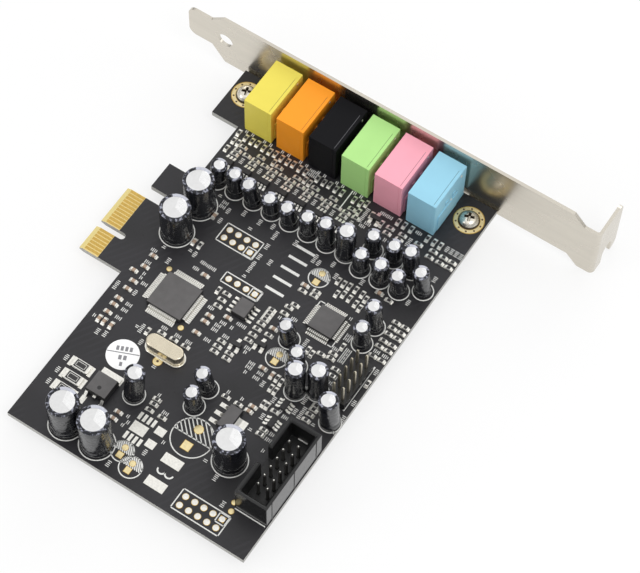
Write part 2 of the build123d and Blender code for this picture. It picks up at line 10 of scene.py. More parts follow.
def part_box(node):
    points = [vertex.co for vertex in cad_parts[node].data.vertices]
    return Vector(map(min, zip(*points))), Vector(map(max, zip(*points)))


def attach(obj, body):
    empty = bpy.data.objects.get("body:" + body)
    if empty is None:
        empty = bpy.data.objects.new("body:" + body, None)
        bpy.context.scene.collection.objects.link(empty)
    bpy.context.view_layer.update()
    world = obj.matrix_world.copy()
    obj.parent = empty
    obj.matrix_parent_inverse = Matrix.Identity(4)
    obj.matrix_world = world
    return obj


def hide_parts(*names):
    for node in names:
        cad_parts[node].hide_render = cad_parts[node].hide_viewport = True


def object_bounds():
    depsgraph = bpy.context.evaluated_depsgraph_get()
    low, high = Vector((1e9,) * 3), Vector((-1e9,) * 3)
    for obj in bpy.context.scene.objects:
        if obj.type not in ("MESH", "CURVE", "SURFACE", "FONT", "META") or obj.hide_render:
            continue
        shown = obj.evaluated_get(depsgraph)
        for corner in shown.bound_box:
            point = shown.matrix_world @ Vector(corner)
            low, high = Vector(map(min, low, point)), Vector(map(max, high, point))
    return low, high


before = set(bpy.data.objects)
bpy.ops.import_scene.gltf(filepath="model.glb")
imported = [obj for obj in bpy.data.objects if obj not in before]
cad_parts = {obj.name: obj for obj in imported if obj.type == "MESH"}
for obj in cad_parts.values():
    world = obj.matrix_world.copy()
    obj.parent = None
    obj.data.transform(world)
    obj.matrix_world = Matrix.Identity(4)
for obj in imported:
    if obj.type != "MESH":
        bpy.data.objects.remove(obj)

bl_info = {
    "name": "Sound card looks",
    "version": (1, 0, 0),
    "blender": (4, 5, 0),
    "location": "View3D > Sidebar > Sound card",
    "description": "Gives the packed sound card its finishes, printed marks, solder and fine pieces",
    "category": "Object",
}

CAD_BOX = [list(corner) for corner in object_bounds()]

# Lengths are millimetres unless metres are named, and the modelling helpers turn them into metres
MM = 0.001
Place = namedtuple("Place", "x y z")
UNDER, TOP = [corner.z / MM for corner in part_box("circuit_board")]
JACKS = ("yellow", "orange", "black", "green", "pink", "blue")
# Kinds of capacitor: how far the printed ring stands out from the body, and the pitch of the leads
CAPACITORS = (("large", 0.35, 3.5), ("medium", 0.2, 2.0), ("small", 0.5, 2.0))
# Directions in degrees of the capacitors' polarity bands and of the painted highlight sector of their ends
BAND_SIDE = 100
PAINTED_HIGHLIGHT_SECTOR = 45
# Edges sharper than this many degrees are rounded, on moulded chips those sharper than the second angle
ROUNDED_ANGLE = 30.0
MOULDED_ANGLE = 15.0
# Faces that meet at more than this many degrees are shaded apart
SMOOTH_ANGLE = 48.0

# The camera's place in metres, its angles in degrees, and its lens
CAMERA_PLACE = (0.19785, -0.2144, 0.49067)
CAMERA_AZIMUTH = 31.89
CAMERA_ELEVATION = 61.10
CAMERA_ROLL = 1.70
CAMERA_LENS = 130.0
CAMERA_SENSOR = 36.0
# Lamps: place and width in metres, and power in watts
LAMPS = (
    ("side_lamp", (0.5, -0.12, 0.72), 0.4, 1.5),
    ("low_lamp", (0.5, 0.35, 0.25), 0.3, 0.3),
    ("front_lamp", (-0.4, -0.5, 0.34), 0.4, 1.1),
    ("back_lamp", (-0.1, 0.8, 0.3), 0.8, 2.4),
)
LAMP_AIM = Vector((0.045, 0.0, 0.0))

# Chip resistors that lie along X
RESISTORS_ALONG_X = (
    (37.5, 0.9), (37.4, -1.1), (37.5, -3.0), (43.7, -10.4), (43.7, -12.1), (43.8, -13.6), (47.1, -12.1),
    (47.3, -13.6), (49.0, 3.3), (49.0, 2.25), (49.0, 1.2), (49.0, 0.15), (48.9, -1.2), (48.9, -2.9),
    (48.9, -4.8), (48.9, -6.6), (52.2, -2.8), (52.0, 4.2), (52.0, 6.2), (52.9, 7.5), (52.2, 11.8),
    (55.2, 12.2), (55.2, 13.4), (30.6, -16.5), (34.0, -16.4), (37.4, -16.4), (53.0, -22.0), (56.5, -22.0),
    (64.7, -18.8), (65.2, -24.2), (65.1, -25.6), (72.0, -12.2), (72.0, -13.4), (72.0, -14.9), (72.0, -16.6),
    (65.4, -0.1), (67.7, 1.6), (67.9, 0.2), (70.5, -1.6), (70.8, -3.5), (75.8, 17.0), (78.3, 17.0),
    (75.8, 15.2), (78.3, 15.2), (75.8, 13.4), (78.3, 13.4), (75.8, 11.2), (78.3, 11.2), (75.8, 9.4),
    (78.3, 9.4), (75.8, 6.4), (78.3, 6.4), (72.7, 38.7), (72.7, 36.8), (75.7, 38.6), (78.2, 38.6),
    (75.7, 36.8), (78.2, 36.8), (71.0, 21.1), (60.4, 38.4), (64.0, 38.4), (68.6, 38.4), (60.5, 36.7),
    (63.9, 36.8), (39.9, -31.6), (40.0, -33.0), (40.0, -34.8), (43.6, -34.8),
)
# Chip resistors that lie along Y
RESISTORS_ALONG_Y = (
    (35.2, 0.6), (57.9, 18.9), (59.5, 18.9), (61.0, 19.1), (62.8, 19.2), (64.8, 19.0), (66.2, 18.3),
    (59.5, 15.7), (61.0, 16.5), (62.8, 16.3), (64.8, 15.9), (66.3, 15.4), (24.4, 8.4), (60.3, -11.3),
    (61.7, -11.6), (60.5, -14.2), (61.8, -14.3), (61.3, -18.6), (62.4, -18.6), (62.2, -0.9), (63.5, -1.3),
    (68.6, 4.4), (78.9, -0.6), (14.1, 38.0), (15.5, 38.0), (26.1, 38.2), (35.4, 38.3), (36.8, 38.1),
    (51.4, 37.9), (54.6, 39.0), (51.8, 41.0), (61.1, 41.0), (62.9, 41.0), (64.9, 41.0), (69.6, 41.0),
    (71.5, 41.0), (73.3, 41.0), (57.9, 38.2), (27.5, -18.0), (13.9, 40.6), (19.65, 40.5), (25.05, 40.5),
    (30.45, 40.5), (41.25, 40.5), (13.9, 35.1),
)
# Tan chip capacitors along X and along Y
CAPACITORS_ALONG_X = (
    (37.4, -6.3), (37.4, -8.2), (37.4, -11.8), (41.4, -4.3), (30.2, 2.2), (52.2, -0.7), (56.0, -10.9),
    (51.9, 13.4), (68.0, 21.6), (34.3, -39.3), (34.2, -41.3), (59.7, -20.6), (59.5, -22.1),
)
CAPACITORS_ALONG_Y = ((22.6, 8.4), (22.5, 17.3), (58.8, -11.3))
# Places of the small printed reference marks and how many signs each has, read along X
MARKS_ALONG_X = (
    (36.4, -4.3, 2), (45.2, -4.2, 3), (41.2, -6.1, 2), (43.6, -6.0, 1), (40.5, -7.4, 2), (40.5, -8.7, 2),
    (43.8, -8.8, 2), (40.6, -12.0, 2), (49.9, -8.4, 2), (50.0, -9.6, 1), (53.0, -11.3, 2), (53.0, -12.5, 2),
    (53.0, -14.0, 1), (30.3, -15.0, 2), (34.2, -15.0, 2), (37.3, -15.0, 2), (52.7, -20.6, 1),
    (56.0, -13.9, 2), (56.2, -12.4, 2), (65.7, -18.0, 1), (67.5, -18.7, 2), (65.85, -24.6, 1),
    (67.6, -24.1, 2), (67.5, -25.7, 2), (56.4, -20.3, 1), (67.5, 3.0, 2), (66.0, 11.9, 1), (68.3, 7.7, 2),
    (68.3, 6.7, 2), (76.0, 7.9, 2), (78.4, 7.9, 2), (15.8, 1.1, 2), (16.5, -2.5, 2), (17.6, -5.6, 1),
    (17.6, -6.9, 1), (19.3, -7.9, 2), (19.5, -14.6, 2), (19.5, -16.4, 2), (19.5, -18.9, 2), (27.9, 4.9, 2),
    (30.2, 4.8, 3), (27.2, 2.6, 2), (36.7, -38.9, 1), (36.9, -41.4, 1), (37.6, -40.2, 1), (39.6, -30.3, 1),
    (43.5, -33.4, 2), (47.5, -39.8, 1), (68.0, -28.7, 1), (14.3, -21.5, 1), (70.3, 4.3, 2), (70.3, 3.2, 2),
    (70.3, 2.1, 2), (70.3, 1.0, 2), (66.9, 41.2, 2), (57.6, 41.0, 4), (55.0, 36.4, 2), (54.2, 35.1, 2),
    (71.4, -5.2, 2), (61.0, 34.9, 1), (22.6, 21.9, 2), (22.6, 20.6, 2), (54.8, 4.2, 2), (51.6, 2.7, 1),
    (35.85, 41.5, 3), (35.85, 40.4, 3),
)
# The same, read along Y
MARKS_ALONG_Y = (
    (20.4, 0.6, 2), (18.8, -11.1, 2), (13.8, -11.8, 3), (17.5, -24.6, 2), (19.4, -24.2, 2), (17.3, 3.2, 1),
    (23.2, 6.0, 1), (24.7, 5.7, 2), (24.5, 20.4, 2), (24.4, 17.0, 2), (20.4, 22.9, 1), (28.2, 22.0, 2),
    (32.8, 22.0, 2), (36.2, 22.8, 2), (38.0, 21.0, 3), (43.4, 22.0, 2), (49.7, 21.0, 3), (51.1, 20.5, 2),
    (54.3, 22.1, 2), (62.8, 21.9, 2), (75.1, 23.3, 2), (77.1, 32.3, 2), (56.6, 19.7, 2), (31.8, 19.2, 1),
    (25.8, -18.1, 3), (24.6, -18.3, 1), (27.8, -21.2, 2), (34.2, -24.9, 1), (15.5, -34.4, 2),
    (15.7, -38.1, 2), (15.7, -41.7, 2), (45.4, -44.3, 2), (62.7, -40.5, 2), (58.3, -38.2, 1),
    (67.9, -45.0, 2), (40.0, -51.3, 2), (58.2, -14.3, 2), (62.7, -16.3, 2), (68.9, -12.2, 3),
    (68.6, -16.1, 2), (70.1, -15.5, 4), (62.9, -21.4, 2), (62.4, -25.8, 1), (60.6, 0.3, 3), (78.9, -6.6, 2),
    (78.9, 3.2, 2), (38.1, 17.3, 2), (38.1, 13.9, 2), (38.1, 10.5, 4), (38.1, 7.4, 1), (41.2, 14.0, 2),
    (66.2, 37.6, 3), (67.2, 36.6, 2), (53.0, 38.0, 5), (79.0, -15.6, 1), (74.0, -16.6, 1), (79.0, -11.4, 2),
    (75.1, 41.2, 2), (76.4, 41.2, 2), (77.7, 41.2, 2), (79.0, 41.2, 2),
)
# Sizes of a printed sign: the pitch and width of its bars, and half the height of the low and the high ones
SIGN_PITCH = 0.46
SIGN_LINE = 0.19
SIGN_LOW = 0.3
SIGN_HIGH = 0.42
# The row of single signs behind the mute packs
CHANNEL_SIGNS_Y = 42.05
# Ends of single printed lines
PRINTED_LINES = (
    ((57.3, 10.6), (57.3, 12.0)), ((57.3, 12.0), (58.5, 12.0)), ((66.4, 4.4), (66.4, 2.9)),
    ((65.3, 2.9), (66.4, 2.9)), ((70.9, -44.3), (79.0, -44.3)), ((46.9, 42.2), (46.9, 36.9)),
)
# Thicker printed lines: ends and width
THICK_LINES = (
    ((77.9, 4.0), (77.9, -9.4), 0.42),
    *(((44.3, y), (48.8, y), 0.75) for y in (8.0, 11.4, 14.8, 18.2, 21.6)),
)
# Printed half rings: x and y
BOWS = ((51.25, -45.7), (53.35, -45.7))
# Empty round footprints: x, y, ring radius, pad x, pad y
EMPTY_RINGS = (
    (53.5, 17.1, 2.64, 53.5, 15.7),
    (57.1, -6.7, 2.68, 57.2, -7.8),
    (40.9, -46.9, 2.73, 40.9, -48.0),
    (44.8, -49.2, 2.80, 44.7, -50.2),
)
# The large empty footprint: x, y and ring radius, and its round and its square pad
LARGE_RING = (52.4, -35.1, 5.18)
LARGE_RING_PADS = ((52.5, -32.5), (52.5, -37.5))
# Bare plated holes: first pad's x and y, pads along X, rows towards -Y, the square pad's column and row
PAD_GRIDS = (
    (27.93, 16.10, 4, 2, 3, 1),
    (35.46, 4.62, 4, 1, 3, 0),
    (59.72, -48.18, 5, 2, 4, 0),
)
PAD_PITCH = 2.54
# How much of a plated hole's pad the solder covers
SOLDERED = 0.88
# Single round pads: x, y, radius
ROUND_PADS = (
    (21.9, -1.1, 0.6), (33.5, -12.8, 0.65), (69.85, -43.2, 0.6), (70.5, -45.4, 0.65), (34.1, -23.25, 1.1),
)
# The round pad that has a hole
HOLED_PAD = (34.1, -23.25)
# Bare tinned lands: x and y spans
TINNED_LANDS = (
    (49.5, 54.7, -44.0, -41.4),
    (49.5, 54.8, -50.8, -48.2),
    (38.7, 42.7, -41.5, -38.7),
    (44.1, 46.6, -39.0, -36.9),
    (44.1, 46.5, -42.9, -40.8),
)
# Small lands in two rows, at each x of each y
SMALL_LANDS_X = (39.05, 40.35, 41.65, 42.95)
SMALL_LANDS_Y = (-37.1, -43.0)
# Tinned lands under leads and heat tabs: x and y spans
LEAD_LANDS = (
    (24.5, 30.5, -33.6, -31.4),
    (24.55, 25.85, -42.3, -40.2),
    (29.15, 30.45, -42.3, -40.2),
    (52.9, 55.0, -24.65, -23.55),
    (52.9, 55.0, -26.95, -25.85),
    (52.9, 55.0, -29.25, -28.15),
    (58.95, 61.3, -28.0, -24.7),
)
# Square chips: leads on a side, width of a lead and how far it reaches
SQUARE_CHIPS = (("main_chip", 16, 0.38, 1.9), ("codec_chip", 12, 0.3, 1.45))
LEAD_PITCH = 0.5
# The round sticker's middle and turn in degrees, and the x and y spans of the plain bars on it
STICKER_PLACE = (26.2, -26.4)
STICKER_TURN = 23.0
STICKER_BARS = (
    (-3.95, 3.95, 0.34, 0.6), (-1.9, -1.2, 1.0, 2.2), (-0.8, -0.1, 1.0, 2.2), (0.3, 1.0, 1.0, 2.2),
    (1.4, 2.1, 1.0, 2.2), (-0.9, -0.1, -1.4, -0.2), (0.3, 1.1, -1.4, -0.2), (-0.3, 0.4, -3.1, -2.0),
)


def shade(*levels):
    """A display colour from 0 to 255 as the linear colour that shaders take."""
    parts = [level / 255 for level in levels]
    return tuple(v / 12.92 if v <= 0.04045 else ((v + 0.055) / 1.055) ** 2.4 for v in parts)


def colour(name, description, *levels):
    """A colour that a user may change."""
    return FloatVectorProperty(
        name=name, description=description, subtype="COLOR", size=3, min=0.0, max=1.0, default=shade(*levels)
    )


def length(name, description, millimetres):
    """A length that a user may change."""
    return FloatProperty(
        name=name, description=description, unit="LENGTH", precision=5, default=millimetres * MM
    )


class CardColours(bpy.types.PropertyGroup):
    """Colours of the card's finishes"""

    mask: colour("Solder mask", "Black lacquer on the board", 36, 35, 39)
    mask_dark: colour("Solder mask shade", "Darker patches of the lacquer", 26, 25, 28)
    laminate: colour("Laminate", "Bare board between the contacts", 226, 202, 132)
    cut_edge: colour("Lead-in", "Slanted edge of the contact tab", 220, 202, 134)
    fibre: colour("Board edge", "Cut glass fibre edge of the board", 176, 175, 170)
    ink: colour("Printing ink", "White printed marks on the board", 236, 236, 232)
    gold: colour("Gold", "Plated contacts and rims of the pads", 216, 180, 98)
    flash: colour("Pad gold", "Thin gold on the bare pads", 250, 232, 180)
    # Dark discs that stand for the vias' holes: painted shade
    via_hole: colour("Via", "Small plated holes round the screws", 92, 62, 34)
    tin: colour("Tin", "Solder and tinned leads", 248, 246, 239)
    steel: colour("Bracket steel", "Plated sheet of the bracket", 216, 210, 198)
    screw: colour("Screw steel", "Plated screws", 240, 235, 222)
    screw_shadow: colour("Screw shadow", "Cross recess and flange of the screws", 70, 60, 48)
    sleeve: colour("Capacitor sleeve", "Shrunk sleeve of the capacitors", 30, 31, 36)
    band: colour("Polarity band", "Printed band on the sleeves' ends", 194, 196, 207)
    # A darker copy of the band's colour for its upright side: painted shade
    band_side: colour("Band's side", "Printed band down the sleeves' sides", 124, 126, 136)
    # Pale flecks of painted highlight on the sleeves' rim
    rim_painted_highlight: colour("Sleeve shoulder", "Pale stress marks on the sleeves' rim", 158, 160, 174)
    can: colour("Capacitor end", "Bare aluminium end of the capacitors", 250, 250, 250)
    epoxy: colour("Chip body", "Moulded body of the chips", 94, 92, 92)
    # Dark epoxy of the small packs, and the painted shade down the sides of the chips
    dark_epoxy: colour("Dark epoxy", "Small packs and the sides of the chips", 44, 43, 44)
    plastic: colour("Header plastic", "Moulded shroud and pin strip", 24, 24, 25)
    # Painted shade inside the shroud
    inside: colour("Header inside", "Shaded inside of the shroud", 14, 14, 15)
    pin: colour("Header pin", "Plating of the open header's pins", 216, 208, 188)
    crystal: colour("Crystal can", "Plated can of the crystal", 224, 214, 192)
    crystal_rim: colour("Crystal rim", "Bright rim of the crystal's base", 244, 241, 232)
    film: colour("Resistor top", "Dark glass on the chip resistors", 46, 45, 46)
    alumina: colour("Resistor body", "White ceramic of the chip resistors", 226, 225, 220)
    ceramic: colour("Chip capacitor", "Fired body of the chip capacitors", 174, 150, 130)
    paper: colour("Sticker", "Paper of the round sticker", 252, 252, 252)
    paper_print: colour("Sticker bars", "Plain bars on the sticker", 138, 138, 142)
    yellow: colour("Yellow jack", "First jack from the slot side", 234, 218, 92)
    orange: colour("Orange jack", "Second jack", 252, 157, 34)
    black: colour("Black jack", "Third jack", 18, 18, 21)
    green: colour("Green jack", "Fourth jack", 177, 227, 140)
    pink: colour("Pink jack", "Fifth jack", 247, 170, 186)
    blue: colour("Blue jack", "Sixth jack", 152, 207, 229)
    # Painted highlight along the black jack's seam
    black_seam_highlight: colour("Black jack's seam", "Pale seam along the black jack", 92, 92, 96)


class CardSizes(bpy.types.PropertyGroup):
    """Sizes of the card's fine pieces"""

    ink: length("Ink height", "Height of the printed marks", 0.02)
    ink_line: length("Ink line", "Width of a printed line", 0.28)
    pad: length("Pad height", "Height of bare pads and lands", 0.04)
    pad_ring: length("Pad ring", "Radius of a plated hole's pad", 0.86)
    edge: length("Moulded edge", "Rounding of moulded plastic edges", 0.1)
    metal_edge: length("Sheet edge", "Rounding of sheet metal edges", 0.1)
    chip_l: length("Chip length", "Length of a chip part", 1.6)
    chip_w: length("Chip width", "Width of a chip part", 0.85)
    chip_t: length("Chip height", "Height of a chip part", 0.5)
    small_lip: length("Small lip", "Width of the sleeve's lip over a small capacitor's end", 0.72)
    medium_lip: length("Medium lip", "Width of the lip over a medium capacitor's end", 0.78)
    large_lip: length("Large lip", "Width of the lip over a large capacitor's end", 1.02)
    groove: length("Groove", "Depth of the crimped groove of a capacitor", 0.22)
    solder: length("Solder foot", "Radius of a solder joint under the board", 0.95)


def tone(name, factor=1.0):
    """One of the card's colours, made lighter or darker by a factor."""
    levels = getattr(bpy.context.scene.card_colours, name)
    return (*(min(1.0, level * factor) for level in levels), 1.0)


def size(name):
    """One of the card's sizes in millimetres."""
    return getattr(bpy.context.scene.card_sizes, name) / MM


# Finishes, by the values that worked() takes
FINISHES = {
    "gold_plate": dict(tint="gold", rough=(0.26, 0.42), metal=1.0, spot=0.7, vary=0.84, grain=0.15),
    "pad_gold": dict(tint="flash", rough=(0.26, 0.42), metal=1.0, spot=0.7, vary=0.86, grain=0.15),
    "via_hole": dict(tint="via_hole", rough=(0.4, 0.6), spot=0.3, vary=0.7, grain=0.1),
    "solder_tin": dict(
        tint="tin", rough=(0.3, 0.5), metal=1.0, spot=0.5, vary=0.84, grain=0.18, depth=0.012,
    ),
    "printed_ink": dict(tint="ink", rough=(0.5, 0.7), spot=0.25, vary=0.78, grain=0.1),
    "screw_steel": dict(tint="screw", rough=(0.2, 0.34), metal=1.0, spot=0.8, vary=0.86, grain=0.2),
    "screw_shadow": dict(tint="screw_shadow", rough=(0.3, 0.5), spot=0.5, vary=0.6, grain=0.2, depth=0.006),
    "capacitor_sleeve": dict(
        tint="sleeve", rough=(0.08, 0.2), spot=0.9, vary=0.35, grain=0.8, depth=0.12, shine=0.9,
    ),
    "capacitor_end": dict(
        tint="can", rough=(0.22, 0.4), metal=1.0, spot=0.9, vary=0.9, grain=0.2, depth=0.006,
    ),
    # A dimmer copy of the end's finish outside the painted highlight sector: painted shade
    "capacitor_end_dull": dict(
        tint="can", dim=0.84, rough=(0.3, 0.45), metal=1.0, spot=0.9, vary=0.94, grain=0.2, depth=0.006,
    ),
    "polarity_band": dict(tint="band", rough=(0.2, 0.34), spot=1.2, vary=0.86, grain=0.3, depth=0.006),
    "band_side": dict(tint="band_side", rough=(0.2, 0.34), spot=0.9, vary=0.7, grain=0.7, depth=0.03),
    "chip_epoxy": dict(tint="epoxy", rough=(0.5, 0.68), spot=1.8, vary=0.84, grain=0.1, depth=0.008),
    "dark_epoxy": dict(tint="dark_epoxy", rough=(0.4, 0.6), spot=0.8, vary=0.8, grain=0.1, depth=0.008),
    "header_plastic": dict(tint="plastic", rough=(0.14, 0.22), spot=3.0, vary=0.8, grain=0.6, depth=0.002),
    "header_inside": dict(tint="inside", rough=(0.3, 0.45), spot=2.0, vary=0.7, grain=0.4),
    "header_pin": dict(tint="pin", rough=(0.28, 0.4), metal=1.0, spot=0.6, vary=0.85, grain=0.2),
    "crystal_metal": dict(tint="crystal", rough=(0.24, 0.36), metal=1.0, spot=2.0, vary=0.92, grain=0.25),
    "crystal_rim": dict(tint="crystal_rim", rough=(0.2, 0.3), metal=1.0, spot=1.0, vary=0.9, grain=0.25),
    "resistor_film": dict(tint="film", rough=(0.3, 0.45), spot=0.5, vary=0.75, grain=0.12, depth=0.006),
    "chip_ceramic": dict(tint="ceramic", rough=(0.42, 0.58), spot=0.4, vary=0.8, grain=0.12, depth=0.008),
    "chip_alumina": dict(tint="alumina", rough=(0.45, 0.6), spot=0.4, vary=0.9, grain=0.12, depth=0.006),
    "power_resistor_glass": dict(
        tint="film", rough=(0.3, 0.45), spot=0.9, vary=0.75, grain=0.15, depth=0.006,
    ),
    "power_resistor_alumina": dict(
        tint="alumina", rough=(0.45, 0.6), spot=0.8, vary=0.9, grain=0.15, depth=0.006,
    ),
    "sticker_paper": dict(tint="paper", rough=(0.55, 0.7), spot=1.5, vary=0.95, grain=0.15, depth=0.006),
    "sticker_print": dict(tint="paper_print", rough=(0.5, 0.65), spot=0.3, vary=0.85, grain=0.1),
}
for jack in JACKS:
    FINISHES[jack + "_plastic"] = dict(
        tint=jack, rough=(0.42, 0.55), spot=6.0, vary=0.95, grain=0.22, shine=0.28,
    )
    # The seams take a darker copy of each jack's colour: painted shade in the groove between housing and
    # cover
    FINISHES[jack + "_seam"] = dict(
        tint=jack, dim=0.45, rough=(0.5, 0.6), spot=2.0, vary=0.8, grain=0.2, depth=0.002,
    )
FINISHES["black_plastic"]["shine"] = 0.1
# On the black jack the seam is painted lighter: a painted highlight
FINISHES["black_seam"].update(tint="black_seam_highlight", dim=1.0)


class Shading:
    """A node tree under construction, and the shader that it feeds"""

    def __init__(self, owner, shader="Principled BSDF"):
        owner.use_nodes = True
        self.owner = owner
        self.tree = owner.node_tree
        self.shader = self.tree.nodes[shader]

    def feed(self, sockets, values):
        """Sets sockets to values, or links them to patterns."""
        for socket, value in zip(sockets, values):
            if isinstance(value, bpy.types.NodeSocket):
                self.tree.links.new(value, socket)
            else:
                socket.default_value = value

    def fill(self, node, **inputs):
        """Feeds a node's inputs by name, with an underscore for a space, and gives its outputs."""
        self.feed([node.inputs[name.replace("_", " ")] for name in inputs], inputs.values())
        return node.outputs

    def node(self, kind, **inputs):
        """The outputs of a new node."""
        return self.fill(self.tree.nodes.new("ShaderNode" + kind), **inputs)

    def places(self, stretch=(1.0, 1.0, 1.0), turn=0.0):
        """Object coordinates, stretched and turned about Z."""
        source = self.node("TexCoord")["Object"]
        turned_by = (0.0, 0.0, math.radians(turn))
        return self.node("Mapping", Vector=source, Scale=stretch, Rotation=turned_by)["Vector"]

    def axes(self, vector):
        """The X, Y and Z of a vector."""
        return self.node("SeparateXYZ", Vector=vector)

    def noise(self, scale, detail, stretch=(1.0, 1.0, 1.0)):
        """A noise pattern with about one spot in 1 / scale metres."""
        return self.node("TexNoise", Scale=scale, Detail=detail, Vector=self.places(stretch))["Fac"]

    def spread(self, value, low=0.0, high=1.0, start=0.3, end=0.7):
        """A pattern's middle range stretched between two levels."""
        outputs = self.node("MapRange", Value=value, From_Min=start, From_Max=end, To_Min=low, To_Max=high)
        return outputs["Result"]

    def combine(self, operation, *values):
        """Patterns and numbers put together."""
        node = self.tree.nodes.new("ShaderNodeMath")
        node.operation = operation
        self.feed(node.inputs, values)
        return node.outputs["Value"]

    def mixed(self, factor, first, second):
        """One colour or pattern over another, by a factor pattern."""
        node = self.tree.nodes.new("ShaderNodeMix")
        node.data_type = "RGBA"
        self.feed((node.inputs["Factor"], node.inputs[6], node.inputs[7]), (factor, first, second))
        return node.outputs[2]

    def done(self, height, depth, **inputs):
        """The material, with its shader fed and its surface raised by a pattern of some depth."""
        bump = self.node("Bump", Strength=1.0, Distance=depth * MM, Height=height)
        self.fill(self.shader, Normal=bump["Normal"], **inputs)
        return self.owner


def finish(name):
    """A finish of the list, made at its first use."""
    made = bpy.data.materials.get(name + "_finish")
    return made or worked(name + "_finish", **FINISHES[name])


def worked(name, tint, rough, spot, vary, grain, metal=0.0, depth=0.004, shine=0.5, dim=1.0):
    """A finish whose colour, gloss and surface vary as the worked material's do.

    The colour has patches of the spot size, down to the vary level. The surface has a grain of the grain
    size and the depth, and the roughness follows it through its range.
    """
    work = Shading(bpy.data.materials.new(name))
    patches = work.spread(work.noise(1 / (spot * MM), 4.0))
    fine = work.noise(1 / (grain * MM), 2.0)
    return work.done(
        fine, depth, Metallic=metal, Specular_IOR_Level=shine, Roughness=work.spread(fine, *rough),
        Base_Color=work.mixed(patches, tone(tint, dim * vary), tone(tint, dim)),
    )


def rim_with_painted_highlights():
    """The sleeve's black rim with pale flecks of painted highlight."""
    work = Shading(bpy.data.materials.new("sleeve_rim"))
    marks = work.noise(1 / (0.75 * MM), 4.0)
    # The pale flecks are painted highlights
    pale = work.spread(marks, 0.0, 1.0, 0.5, 0.66)
    return work.done(
        marks, 0.08, Specular_IOR_Level=0.3, Roughness=work.spread(marks, 0.35, 0.15),
        Base_Color=work.mixed(pale, tone("sleeve"), tone("rim_painted_highlight")),
    )


def pin_plate(level):
    """Plated pins, with painted shade that darkens the shaft and full brightness above a level."""
    work = Shading(bpy.data.materials.new("box_header_pin"))
    height = work.axes(work.places())["Z"]
    # Painted shade: the shafts inside the shroud take a darker copy of the tin
    lit_tips = work.spread(height, 0.0, 1.0, (level - 0.3) * MM, (level + 0.1) * MM)
    fine = work.noise(1 / (0.2 * MM), 2.0)
    return work.done(
        fine, 0.006, Metallic=1.0, Roughness=work.spread(fine, 0.3, 0.45),
        Base_Color=work.mixed(lit_tips, tone("tin", 0.3), tone("tin")),
    )


def board_lacquer():
    """Black lacquer over copper tracks and covered vias, with a bare contact tab and pale cut edges."""
    work = Shading(bpy.data.materials.new("board_lacquer"))
    patches = work.spread(work.noise(60.0, 5.0), 0.0, 1.0, 0.35, 0.65)
    lacquer = work.mixed(patches, tone("mask_dark"), tone("mask"))
    slanted = work.places(turn=30.0)
    tracks = work.node("TexWave", Scale=200.0, Distortion=9.0, Detail=2.0, Detail_Scale=0.12, Vector=slanted)
    lines = work.spread(tracks["Fac"], 0.0, 1.0, 0.62, 0.78)
    regions = work.spread(work.noise(95.0, 1.0), 0.0, 1.0, 0.5, 0.58)
    routed = work.combine("MULTIPLY", lines, regions)
    lacquer = work.mixed(work.combine("MULTIPLY", routed, 0.3), lacquer, tone("mask", 1.5))
    cells = work.node("TexVoronoi", Scale=260.0, Vector=work.places((1.0, 1.0, 0.0)))
    vias = work.spread(cells["Distance"], 1.0, 0.0, 0.055, 0.075)
    lacquer = work.mixed(work.combine("MULTIPLY", vias, 0.6), lacquer, tone("mask_dark", 0.5))
    where = work.axes(work.places())
    on_tab = work.combine("LESS_THAN", where["Y"], 13.0 * MM)
    for reach, bare in ((5.5, "laminate"), (1.34, "cut_edge")):
        near = work.combine("LESS_THAN", where["X"], reach * MM)
        lacquer = work.mixed(work.combine("MULTIPLY", near, on_tab), lacquer, tone(bare))
    facing = work.axes(work.node("NewGeometry")["Normal"])
    flat = work.combine("GREATER_THAN", work.combine("ABSOLUTE", facing["Z"]), 0.6)
    weave = work.spread(work.noise(2600.0, 2.0, (1.0, 1.0, 4.0)))
    edge = work.mixed(weave, tone("fibre", 0.72), tone("fibre"))
    orange_peel = work.noise(1500.0, 2.0)
    height = work.combine("ADD", work.combine("MULTIPLY", orange_peel, 0.35), routed)
    return work.done(
        height, 0.008, Base_Color=work.mixed(flat, edge, lacquer),
        Roughness=work.spread(orange_peel, 0.34, 0.5),
    )


def steel_sheet():
    """Plated sheet with faint rolling streaks along its length and a few handling smears."""
    work = Shading(bpy.data.materials.new("bracket_steel"))
    streaks = work.noise(900.0, 3.0, (0.06, 1.0, 1.0))
    smears = work.spread(work.noise(70.0, 4.0))
    base = work.mixed(work.spread(streaks), tone("steel", 0.93), tone("steel"))
    return work.done(
        streaks, 0.0015, Metallic=1.0, Roughness=work.spread(smears, 0.24, 0.32, 0.0, 1.0),
        Base_Color=work.mixed(work.combine("MULTIPLY", smears, 0.5), base, tone("steel", 0.94)),
    )


# Places of the CAD nodes
def bounds_of(corners):
    """The lowest and the highest of some places in metres, and their middle, in millimetres."""
    low, high = [Place(*(pick(p[k] for p in corners) / MM for k in range(3))) for pick in (min, max)]
    return low, high, Place(*((a + b) / 2 for a, b in zip(low, high)))


def box(node):
    """The lowest and the highest corner of a node, and its middle."""
    return bounds_of(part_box(node))


def merged(node):
    """A copy of a node's mesh with its loose triangles joined into whole faces."""
    bm = bmesh.new()
    bm.from_mesh(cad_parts[node].data)
    bmesh.ops.remove_doubles(bm, verts=bm.verts, dist=0.001 * MM)
    bmesh.ops.dissolve_limit(bm, angle_limit=math.radians(0.5), verts=bm.verts, edges=bm.edges)
    return bm


def islands(node):
    """The separate solids of a node, each as the list of its corners in metres."""
    bm = merged(node)
    seen = set()
    found = []
    for start in bm.verts:
        if start in seen:
            continue
        seen.add(start)
        group = [start]
        for vert in group:
            for edge in vert.link_edges:
                other = edge.other_vert(vert)
                if other not in seen:
                    seen.add(other)
                    group.append(other)
        found.append([vert.co.copy() for vert in group])
    bm.free()
    return found


